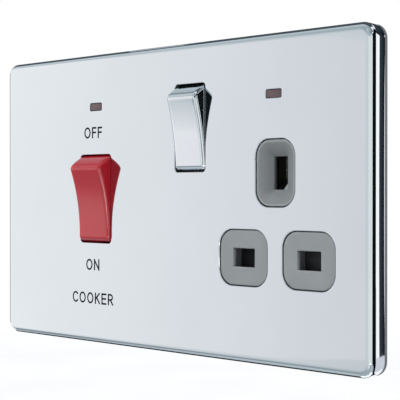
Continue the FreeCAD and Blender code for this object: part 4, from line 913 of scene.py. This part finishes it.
def stroke_tree():
    """A node tree that gives drawn strokes a round section and their ink."""
    inputs = {"Strokes": "Geometry", "Half width": "Float", "Finish": "Material"}
    tree, given = open_tree("inked_strokes", inputs, "Letters")
    section = add_node(
        tree, "GeometryNodeCurvePrimitiveCircle", {"Resolution": STROKE_SIDES, "Radius": given["Half width"]}
    )
    swept = add_node(tree, "GeometryNodeCurveToMesh", {
        "Curve": given["Strokes"], "Profile Curve": section.outputs["Curve"], "Fill Caps": True,
    })
    return close_tree(tree, swept.outputs["Mesh"], given["Finish"])


class UNIT_OT_lettering(bpy.types.Operator):
    """Print the plain words beside the cooker rocker"""
    bl_idname = "cooker_unit.lettering"
    bl_label = "Printed words"

    def execute(self, context):
        letters = settings().letters
        stroke = letters.stroke / MM
        tall = letters.height / MM - stroke
        flat = letters.thickness / letters.stroke
        tree = stroke_tree()
        values = {"Half width": letters.stroke / 2, "Finish": MATERIALS["ink"]}
        for word, (place, gap) in WORDS.items():
            bm = grown(word, drawn_word(word, place, gap, tall, stroke), tree, values)
            for vert in bm.verts:
                vert.co.y = FRONT_Y * MM + (vert.co.y - FRONT_Y * MM) * flat
            settle(bm)
            piece_from(bm, "printed_" + word.lower(), "ink", "unit")
        return {"FINISHED"}


# Mouldings and metalwork with their corners rounded

SAME_PLACE = 1e-7
SAME_PLANE = math.radians(0.5)
CORNER = math.radians(40.0)
# Width of the rounding in millimetres, finish, body and slot
MOULDINGS = {
    "mounting_frame": (0.2, "frame_plastic", "unit", "grey_plastic"),
    "rear_base": (0.3, "base_plastic", "unit", "base_plastic"),
    "cooker_switch_housing": (0.15, "housing_plastic", "unit", "black_plastic"),
    "socket_switch_housing": (0.15, "housing_plastic", "unit", "black_plastic"),
    "shutter": (0.15, "black_plastic", "shutter_body", "black_plastic"),
}
LENS_EDGE = 0.3
# A lens face that looks forward at least this much is its window, and the rest is its rim, which is painted
# dark as shade
WINDOW_NORMAL_Y = -0.97
TERMINAL_EDGE = 0.25
SPRING_EDGE = 0.05


def rounded_copy(node, ending, width, finish, body, slot, segments=2):
    """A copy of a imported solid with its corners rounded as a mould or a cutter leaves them."""
    bm = bmesh.new()
    bm.from_mesh(frame["nodes"][node].data)
    bmesh.ops.remove_doubles(bm, verts=bm.verts, dist=SAME_PLACE)
    bmesh.ops.dissolve_limit(
        bm, angle_limit=SAME_PLANE, verts=bm.verts, edges=bm.edges, use_dissolve_boundaries=False
    )
    corners = [
        edge for edge in bm.edges if len(edge.link_faces) == 2 and edge.calc_face_angle(0.0) > CORNER
    ]
    bmesh.ops.bevel(
        bm, geom=corners, offset=width * MM, offset_type="OFFSET", segments=segments, profile=0.5,
        affect="EDGES", clamp_overlap=True,
    )
    smooth_shaded(bm)
    return piece_from(bm, node + ending, finish, body, (node,))


class UNIT_OT_mouldings(bpy.types.Operator):
    """Round the corners of the frame, base, housings and other moulded pieces"""
    bl_idname = "cooker_unit.mouldings"
    bl_label = "Mouldings"

    def execute(self, context):
        for node, sizes in MOULDINGS.items():
            rounded_copy(node, "_moulding", *sizes)
        for node in ("cooker_neon_lens", "socket_neon_lens"):
            lens = rounded_copy(node, "_moulding", LENS_EDGE, "smoked_lens", "unit", "smoked_lens", 3)
            # The window's rounded rim takes the black finish, painted shade standing for the dark well behind
            # it
            lens.data.materials.append(MATERIALS["black_plastic"])
            for face in lens.data.polygons:
                face.material_index = 0 if face.normal.y < WINDOW_NORMAL_Y else 1
        return {"FINISHED"}


class UNIT_OT_metalwork(bpy.types.Operator):
    """Break the edges of the brass terminals and of the shutter's spring"""
    bl_idname = "cooker_unit.metalwork"
    bl_label = "Metalwork"

    def execute(self, context):
        for side in ("supply", "load"):
            for pole in ("live", "neutral", "earth"):
                rounded_copy(f"{side}_{pole}_terminal", "_block", TERMINAL_EDGE, "brass", "unit", "brass")
        # The shutter's coil spring, with its own copy of the mesh
        wire = "spring_steel"
        spring = rounded_copy("shutter_spring", "_coil", SPRING_EDGE, wire, "unit", wire)
        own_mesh(spring)
        return {"FINISHED"}


# Screws, in millimetres

TERMINAL_XS = (-38.1, -20.1, -6.0)
TERMINAL_Y = 25.048
TERMINAL_ZS = (-26.0, 26.0)
BASE_COOKER_Y = 14.048
BASE_SOCKET_Y = 23.05
BASE_Z = 31.078
# Seats, then the head's radius and height, the slot's width and depth, the shank's radius and length
SCREWS = {
    "terminal_screws": (
        [(x, TERMINAL_Y, z) for z in TERMINAL_ZS for x in TERMINAL_XS], (3.6, 2.2, 1.0, 1.1, 2.4, 3.0),
    ),
    "base_screws": (
        [
            (-47.6, BASE_COOKER_Y, BASE_Z), (-47.6, BASE_COOKER_Y, -BASE_Z), (49.0, BASE_SOCKET_Y, BASE_Z),
            (24.0, BASE_SOCKET_Y, -BASE_Z), (49.0, BASE_SOCKET_Y, -BASE_Z),
        ],
        (2.5, 1.5, 0.7, 0.7, 1.1, 8.0),
    ),
}
SCREW_SIDES = 40
SCREW_SEED = 3
# Share of the head's height that is crowned, share of the shank left at its tip, and length of that taper
CROWN_SHARE = 0.35
TIP_SHARE = 0.7
TIP_TAPER = 0.4
CUTTER_OVER = 1


def screw_template(name, head_r, head_h, slot_w, slot_depth, shank_r, shank):
    """One slotted screw along Y, its seat at zero and its head towards +Y, with a crowned head."""
    profile = [(shank_r * TIP_SHARE, -shank), (shank_r, TIP_TAPER - shank), (shank_r, 0.0), (head_r, 0.0)]
    profile += [(head_r - fall, head_h - short) for short, fall in quarter(CROWN_SHARE * head_h)]
    turns = [2 * math.pi * number / SCREW_SIDES for number in range(SCREW_SIDES)]
    bm = bmesh.new()
    loops = []
    for r, y in profile:
        places = [(r * MM * math.cos(turn), y * MM, r * MM * math.sin(turn)) for turn in turns]
        loops.append([bm.verts.new(place) for place in places])
    bridge_all(bm, loops)
    bm.faces.new(loops[0])
    bm.faces.new(loops[-1])
    bmesh.ops.recalc_face_normals(bm, faces=bm.faces)
    blank = object_of(name, mesh_from(bm, name))
    cutter_bm = bmesh.new()
    reach = head_r + CUTTER_OVER
    add_box(cutter_bm, -reach, reach, head_h - slot_depth, head_h + CUTTER_OVER, -slot_w / 2, slot_w / 2)
    cutter = object_of(name + "_cutter", mesh_from(cutter_bm, name + "_cutter"))
    cut = blank.modifiers.new("slot", "BOOLEAN")
    cut.operation = "DIFFERENCE"
    cut.solver = "EXACT"
    cut.object = cutter
    slotted = made_real(blank, cut)
    bpy.data.objects.remove(cutter)
    return object_of(name, slotted)


def screw_tree():
    """A node tree that sets one screw on every point, each turned about its own axis."""
    inputs = {
        "Points": "Geometry", "Screw": "Object", "Turn": "Float", "Finish": "Material", "Seed": "Int",
    }
    tree, given = open_tree("screws_on_points", inputs, "Screws")
    one = add_node(
        tree, "GeometryNodeObjectInfo", {"Object": given["Screw"]}, transform_space="ORIGINAL"
    )
    # The node's float range has the numbers 2 and 3 among its inputs, and 1 among its outputs
    spread = add_node(
        tree, "FunctionNodeRandomValue", {3: given["Turn"], "Seed": given["Seed"]}, data_type="FLOAT"
    )
    turned = add_node(tree, "ShaderNodeCombineXYZ", {"Y": spread.outputs[1]})
    placed = add_node(tree, "GeometryNodeInstanceOnPoints", {
        "Points": given["Points"], "Instance": one.outputs["Geometry"], "Rotation": turned.outputs["Vector"],
    })
    return close_tree(tree, placed.outputs["Instances"], given["Finish"])


class UNIT_OT_screws(bpy.types.Operator):
    """Set the terminal screws and the base screws on their places"""
    bl_idname = "cooker_unit.screws"
    bl_label = "Screws"

    def execute(self, context):
        tree = screw_tree()
        finish = MATERIALS["zinc_steel"]
        for seed, (node, (places, sizes)) in enumerate(SCREWS.items(), SCREW_SEED):
            template = screw_template(node + "_template", *sizes)
            points = bpy.data.meshes.new(node + "_points")
            points.from_pydata([tuple(Vector(place) * MM) for place in places], [], [])
            values = {"Screw": template, "Turn": math.pi, "Finish": finish, "Seed": seed}
            bm = grown(node + "_points", points, tree, values)
            bpy.data.objects.remove(template)
            settle(bm)
            piece_from(bm, node + "_set", "zinc_steel", "unit", (node,))
        return {"FINISHED"}


# Studio, with places and reaches in metres unless they say otherwise

FLOOR_HALF = 6.0
FLOOR_PATCH_MM = 400.0
FLOOR_DETAIL = 2.0
FLOOR_ROUGH = 0.9
FLOOR_GLOW = 0.45
# A lamp's place and size
KEY_LAMP = ((-0.55, -0.9, 0.75), (0.9, 0.7))
FILL_LAMP = ((1.1, -0.14, 0.2), (0.16, 0.8))
CAMERA_EYE_MM = (244.95, -236.73, 1.97)
CAMERA_YAW = math.radians(-44.92)
CAMERA_PITCH = math.radians(-0.378)
SENSOR_MM = 36.0
NEAREST_SEEN = 0.01
# Columns across a hooped card, rows between two of its stations, and steps each way on a level card
HOOP_COLUMNS = 12
HOOP_ROWS = 6
LEVEL_STEPS = 16
SOFT_GLOW = 1.0
BRIGHT_GLOW = 1.12
LAMP_GLOW = 25.0


# Tones at a card's corners: both ends of its first row of places, then both ends of its last row

def even(tone):
    return (tone, tone, tone, tone)


def across(first, last):
    return (first, last, first, last)


def up(low, high):
    return (low, low, high, high)


# Reach, tones, and stations that are a turn from +X and two angles off the wall's axis, in degrees
HOOP_CARDS = {
    # The window between the two dark flags, which the folded rim mirrors as a white stripe
    "white_panel": (2.3, even("#ffffff"), [(-30, 32, 60), (38, 32, 60)]),
    "black_flag_front": (2.0, across("#0b0c0e", "#14161a"), [
        (-27, 62, 104), (-16, 62, 122), (-13, 62, 147), (22, 62, 147), (27, 58, 134), (31, 54, 118),
        (34, 48, 106), (45, 46, 92), (56, 44, 80),
    ]),
    "black_flag_corner": (0.98, across("#0b0c0e", "#14161a"), [
        (-24, 62, 104), (-40, 58, 94), (-60, 48, 74), (-80, 42, 54), (-105, 36, 44),
    ]),
    "dark_flag_side": (2.0, across("#14161c", "#3a444c"), [
        (-30, 24.1, 37.0), (22, 24.1, 37.0), (27, 24, 38), (31, 25, 41), (34, 26, 46), (45, 26, 60),
        (56, 25, 46), (80, 25, 41), (104, 24, 40), (125, 24, 42), (140, 26, 46),
    ]),
    "dark_flag_top": (2.0, across("#2a3036", "#4a545c"), [
        (84, 50, 62), (98, 43, 80), (118, 40, 84), (128, 42, 60), (150, 44, 58), (168, 44, 56),
    ]),
    "bevel_wall": (2.02, across("#8f9aa1", "#c3ccd1"), [(120, 58, 98), (160, 58, 98)]),
    "dark_flag_low": (1.05, across("#202428", "#30353a"), [
        (192, 44, 56), (200, 44, 62), (210, 44, 80), (225, 44, 98), (240, 44, 97), (262, 44, 90),
        (280, 50, 84),
    ]),
    # Grey-blue walls above and below, which the top and bottom folds mirror
    "wall_edge": (2.02, ("#e6eaed", "#dde1e5", "#c2ccd1", "#a7b3b9"), [
        (166, 108, 148), (158, 108, 148),
    ]),
    "wall_high": (2.02, across("#d9e0e4", "#9caab1"), [(158, 108, 148), (98, 108, 148)]),
    "wall_top": (2.0, across("#b4bdc3", "#c6d0d5"), [(158, 96, 113), (98, 90, 113)]),
    "wall_corner": (2.03, ("#b9c3c9", "#a9b4bb", "#5a646c", "#7d8990"), [
        (98, 100, 160), (70, 98, 160), (50, 104, 155), (38, 100, 145),
    ]),
    "wall_low": (1.04, across("#aab5bd", "#d5dde1"), [(212, 90, 128), (262, 90, 128)]),
    # The even wall that the plate's face mirrors, a little darker towards the camera's side
    "face_wall": (2.1, across("#ffffff", "#dfdfe5"), [(156, 122, 146), (204, 122, 146)]),
}
# Reach, tones, turns from +X and heights over the level, in degrees
LEVEL_CARDS = {
    "low_card": (1.03, ("#d6dce0", "#b6c0c6", "#fbfcfd", "#d6dade"), (-145.0, -124.0), (-16.3, -10.3)),
    "low_card_left": (1.03, up("#d6dce0", "#fbfcfd"), (-158.0, -145.0), (-16.3, -10.3)),
    "low_card_right": (1.03, up("#b6c0c6", "#d6dade"), (-124.0, -106.0), (-16.3, -10.3)),
    "low_wall": (1.03, ("#858c93", "#b4c0c6", "#8d949a", "#a2afb6"), (-160.0, -104.0), (-34.0, -16.3)),
    # The pale front of the room
    "front_edge": (2.06, across("#d2d8dd", "#dfe5e7"), (-124.3, -112.0), (-11.0, 10.0)),
    "front_top": (2.09, even("#b4c1c7"), (-124.3, -49.0), (10.0, 26.0)),
    "front_card": (2.08, even("#e9efee"), (-112.0, -49.0), (-11.0, 10.0)),
    "left_card": (2.0, even("#8f999f"), (-222.0, -160.0), (-11.0, 11.0)),
    "floor_sweep": (1.0, even("#dadde4"), (37.0, 80.0), (-50.0, -9.6)),
    "low_front": (2.04, even("#b4bfc6"), (-78.0, 37.0), (-26.0, -5.0)),
    "low_front_floor": (1.05, even("#b4bfc6"), (-60.0, 37.0), (-60.0, -25.0)),
    # Pale then dark in front, which edge the chrome rocker
    "front_low": (1.0, even("#e9efee"), (-106.0, -78.0), (-24.0, -11.0)),
    "low_flag": (1.0, even("#5a636a"), (-78.0, -66.0), (-18.0, -6.0)),
    "front_flag": (2.05, even("#101215"), (-78.0, -49.0), (-11.0, 10.0)),
    "low_front_dip": (1.0, even("#a9b4bb"), (-104.0, -60.0), (-60.0, -24.0)),
    "low_corner": (1.035, even("#a9b6bd"), (-135.0, -104.0), (-60.0, -34.0)),
    "floor_card": (0.88, even("#b4bfc6"), (-135.0, -25.0), (-80.0, -59.0)),
}
# Strips close to the unit's right end, mirrored by the rockers' right edges and the right fold: places in x
# and y, and two heights, in millimetres, and the tone
STRIP_CARDS = {
    "edge_card": ([(57, -52), (68, -46), (74, -37)], (-43, 11.5), "#e9efee"),
    "fold_card": ([(74, -37), (78, -16), (83, -14.8)], (-43, 43), "#e9efee"),
    "edge_lamp": ([(89.1, -107.8), (95.5, -100.2)], (-62, -22), "#ffffff"),
}
# A dark strip close above, which the top fold mirrors as its thin dark line, narrower over the chrome rocker:
# its inner edge in x and y, its outer edge in y, its height, in millimetres, and its tone
TOP_LINE = ((-130, 2.0), (-26, 2.0), (-22, -5.4), (0, -5.4), (4, 2.0), (75, 2.0))
TOP_LINE_OUT = -9.0
TOP_LINE_Z = 50
TOP_LINE_TONE = "#4a545c"


def look(holder, eye, aim):
    """Stand a lamp or camera at one point and turn it to another."""
    holder.location = eye
    holder.rotation_euler = (Vector(aim) - Vector(eye)).to_track_quat("-Z", "Y").to_euler()


def card_finish(name, strength):
    """The even glow of studio cards, each of which carries its own tones."""
    made = bpy.data.materials.new(name)
    made.use_nodes = True
    tree = made.node_tree
    tree.nodes.clear()
    tones = add_node(tree, "ShaderNodeAttribute", attribute_name="tone")
    glow = add_node(tree, "ShaderNodeEmission", {"Color": tones.outputs["Color"], "Strength": strength})
    add_node(tree, "ShaderNodeOutputMaterial", {"Surface": glow.outputs["Emission"]})
    return made


def card_from(name, rows, tones, finish):
    """A curved card through rows of places, with a tone at each corner, which only reflections see."""
    first_start, first_end, last_start, last_end = [Vector(linear(code)) for code in tones]
    wide = len(rows[0])
    shades = []
    for row in range(len(rows)):
        up_share = row / (len(rows) - 1)
        for column in range(wide):
            share = column / (wide - 1)
            first = first_start.lerp(first_end, share)
            shades.append(first.lerp(last_start.lerp(last_end, share), up_share))
    faces = []
    for row in range(len(rows) - 1):
        for corner in range(row * wide, row * wide + wide - 1):
            faces.append((corner, corner + 1, corner + wide + 1, corner + wide))
    mesh = bpy.data.meshes.new(name)
    mesh.from_pydata([spot for line in rows for spot in line], [], faces)
    layer = mesh.color_attributes.new("tone", "FLOAT_COLOR", "POINT")
    for spot, tone in zip(layer.data, shades):
        spot.color = tone
    mesh.materials.append(finish)
    card = object_of(name, mesh)
    card.visible_camera = False
    card.visible_diffuse = False
    card.visible_shadow = False
    card.visible_transmission = False


def level_rows(reach, turn, height):
    """Rows of places between two turns from +X and two heights over the level."""
    rows = []
    for row in range(LEVEL_STEPS + 1):
        tilt = math.radians(height[0] + (height[1] - height[0]) * row / LEVEL_STEPS)
        line = []
        for column in range(LEVEL_STEPS + 1):
            compass = math.radians(turn[0] + (turn[1] - turn[0]) * column / LEVEL_STEPS)
            level = Vector((math.cos(compass), math.sin(compass), 0.0)) * math.cos(tilt)
            line.append((level + Vector((0.0, 0.0, math.sin(tilt)))) * reach)
        rows.append(line)
    return rows


def hoop_rows(reach, stations):
    """Rows of places round the wall's axis, from station to station."""
    rows = []
    spans = list(zip(stations, stations[1:]))
    for number, (first, last) in enumerate(spans):
        for step in range(HOOP_ROWS + (number == len(spans) - 1)):
            turn, inner, outer = [a + (b - a) * step / HOOP_ROWS for a, b in zip(first, last)]
            side = Vector((math.cos(math.radians(turn)), 0.0, math.sin(math.radians(turn))))
            line = []
            for column in range(HOOP_COLUMNS + 1):
                off = math.radians(inner + (outer - inner) * column / HOOP_COLUMNS)
                line.append((side * math.sin(off) + Vector((0.0, math.cos(off), 0.0))) * reach)
            rows.append(line)
    return rows


def set_cards():
    """Hang every card that the chrome mirrors."""
    soft = card_finish("glowing_studio_card", SOFT_GLOW)
    brighter = {
        "white_panel": card_finish("bright_studio_card", BRIGHT_GLOW),
        "edge_lamp": card_finish("small_lamp_card", LAMP_GLOW),
    }
    cards = {}
    for name, (reach, tones, stations) in HOOP_CARDS.items():
        cards[name] = (hoop_rows(reach, stations), tones)
    for name, (reach, tones, turn, height) in LEVEL_CARDS.items():
        cards[name] = (level_rows(reach, turn, height), tones)
    for name, (line, heights, tone) in STRIP_CARDS.items():
        cards[name] = ([[Vector((x, y, z)) * MM for x, y in line] for z in heights], even(tone))
    inner = [Vector((x, y, TOP_LINE_Z)) * MM for x, y in TOP_LINE]
    outer = [Vector((x, TOP_LINE_OUT, TOP_LINE_Z)) * MM for x, y in TOP_LINE]
    cards["top_line"] = ([inner, outer], even(TOP_LINE_TONE))
    for name, (rows, tones) in cards.items():
        card_from(name, rows, tones, brighter.get(name, soft))


def lamp_at(name, place, size, power):
    """A large soft lamp towards the unit that lights it but isn't mirrored in it."""
    lamp = bpy.data.lights.new(name, "AREA")
    lamp.shape = "RECTANGLE"
    lamp.size, lamp.size_y = size
    lamp.energy = power
    holder = object_of(name, lamp)
    look(holder, place, (0.0, 0.0, 0.0))
    holder.visible_glossy = False
    holder.visible_camera = False


def seen_rays(tree):
    """One for rays from the camera, off gloss or through glass, and nought for the light on the unit."""
    rays = add_node(tree, "ShaderNodeLightPath").outputs
    plain = {0: rays["Is Camera Ray"], 1: rays["Is Glossy Ray"]}
    sight = add_node(tree, "ShaderNodeMath", plain, operation="MAXIMUM")
    clear = {0: sight.outputs[0], 1: rays["Is Transmission Ray"]}
    return add_node(tree, "ShaderNodeMath", clear, operation="MAXIMUM").outputs[0]


def set_world(sky):
    """Soft even light all round, which shows as plain white."""
    world = bpy.data.worlds.new("studio")
    bpy.context.scene.world = world
    world.use_nodes = True
    tree = world.node_tree
    tree.nodes.clear()
    soft = add_node(tree, "ShaderNodeBackground", {"Color": linear("#f6f8fb"), "Strength": sky})
    white = add_node(tree, "ShaderNodeBackground", {"Color": linear("#ffffff"), "Strength": 1.0})
    mixed = add_node(tree, "ShaderNodeMixShader", {
        "Fac": seen_rays(tree), 1: soft.outputs["Background"], 2: white.outputs["Background"],
    })
    add_node(tree, "ShaderNodeOutputWorld", {"Surface": mixed.outputs["Shader"]})


def lay_floor(drop):
    """A pale floor that shows as nearly white and keeps the unit's shadow."""
    made, tree, shader, _ = two_toned(
        "pale_studio_floor", FLOOR_PATCH_MM, FLOOR_DETAIL, linear("#f7f8fa"), linear("#ffffff")
    )
    shader.inputs["Roughness"].default_value = FLOOR_ROUGH
    glow = add_node(tree, "ShaderNodeMath", {0: seen_rays(tree), 1: FLOOR_GLOW}, operation="MULTIPLY")
    lit = add_node(tree, "ShaderNodeEmission", {"Color": linear("#ffffff"), "Strength": glow.outputs[0]})
    both = add_node(tree, "ShaderNodeAddShader", {0: shader.outputs["BSDF"], 1: lit.outputs["Emission"]})
    tree.links.new(both.outputs["Shader"], tree.nodes["Material Output"].inputs["Surface"])
    mesh = bpy.data.meshes.new("floor")
    corners = [(x * FLOOR_HALF, y * FLOOR_HALF, 0.0) for x, y in ((-1, -1), (1, -1), (1, 1), (-1, 1))]
    mesh.from_pydata(corners, [], [(0, 1, 2, 3)])
    mesh.materials.append(made)
    floor = object_of("floor", mesh)
    floor.location = (0.0, 0.0, -drop)


def set_camera(focal):
    """The photograph's own view of the unit."""
    lens = bpy.data.cameras.new("camera")
    lens.sensor_fit = "HORIZONTAL"
    lens.sensor_width = SENSOR_MM
    lens.lens = focal
    lens.clip_start = NEAREST_SEEN
    camera = object_of("camera", lens)
    eye = Vector(CAMERA_EYE_MM) * MM
    level = math.cos(CAMERA_PITCH)
    ahead = Vector((math.sin(CAMERA_YAW) * level, math.cos(CAMERA_YAW) * level, math.sin(CAMERA_PITCH)))
    look(camera, eye, eye + ahead)
    bpy.context.scene.camera = camera


class UNIT_OT_stage(bpy.types.Operator):
    """Set the floor, the light, the cards that the chrome mirrors and the camera"""
    bl_idname = "cooker_unit.stage"
    bl_label = "Studio"

    def execute(self, context):
        stage = settings().stage
        context.scene.view_settings.view_transform = "Standard"
        set_world(stage.sky)
        lay_floor(stage.floor_drop)
        lamp_at("key_lamp", *KEY_LAMP, stage.key)
        lamp_at("fill_lamp", *FILL_LAMP, stage.fill)
        set_cards()
        set_camera(stage.lens)
        return {"FINISHED"}


STEPS = (
    UNIT_OT_finishes,
    UNIT_OT_plate,
    UNIT_OT_lettering,
    UNIT_OT_rockers,
    UNIT_OT_socket,
    UNIT_OT_mouldings,
    UNIT_OT_metalwork,
    UNIT_OT_screws,
    UNIT_OT_stage,
)
GROUPS = (PlateSettings, RockerSettings, LetterSettings, FinishSettings, StageSettings, UnitSettings)


class UNIT_PT_panel(bpy.types.Panel):
    """The unit's pieces and studio, with the sizes and colours that they are made from"""
    bl_idname = "UNIT_PT_panel"
    bl_label = "Cooker Unit"
    bl_space_type = "VIEW_3D"
    bl_region_type = "UI"
    bl_category = "Cooker Unit"

    def draw(self, context):
        for step in STEPS:
            self.layout.operator(step.bl_idname)
        for group in UnitSettings.__annotations__:
            held = getattr(settings(), group)
            for value in type(held).__annotations__:
                self.layout.prop(held, value)


def register():
    for group in GROUPS:
        bpy.utils.register_class(group)
    bpy.types.Scene.cooker_unit = PointerProperty(type=UnitSettings)
    for step in STEPS:
        bpy.utils.register_class(step)
    bpy.utils.register_class(UNIT_PT_panel)


def unregister():
    bpy.utils.unregister_class(UNIT_PT_panel)
    for step in reversed(STEPS):
        bpy.utils.unregister_class(step)
    del bpy.types.Scene.cooker_unit
    for group in reversed(GROUPS):
        bpy.utils.unregister_class(group)


def main():
    register()
    for step in STEPS:
        family, name = step.bl_idname.split(".")
        getattr(getattr(bpy.ops, family), name)()


if __name__ == "__main__":
    main()
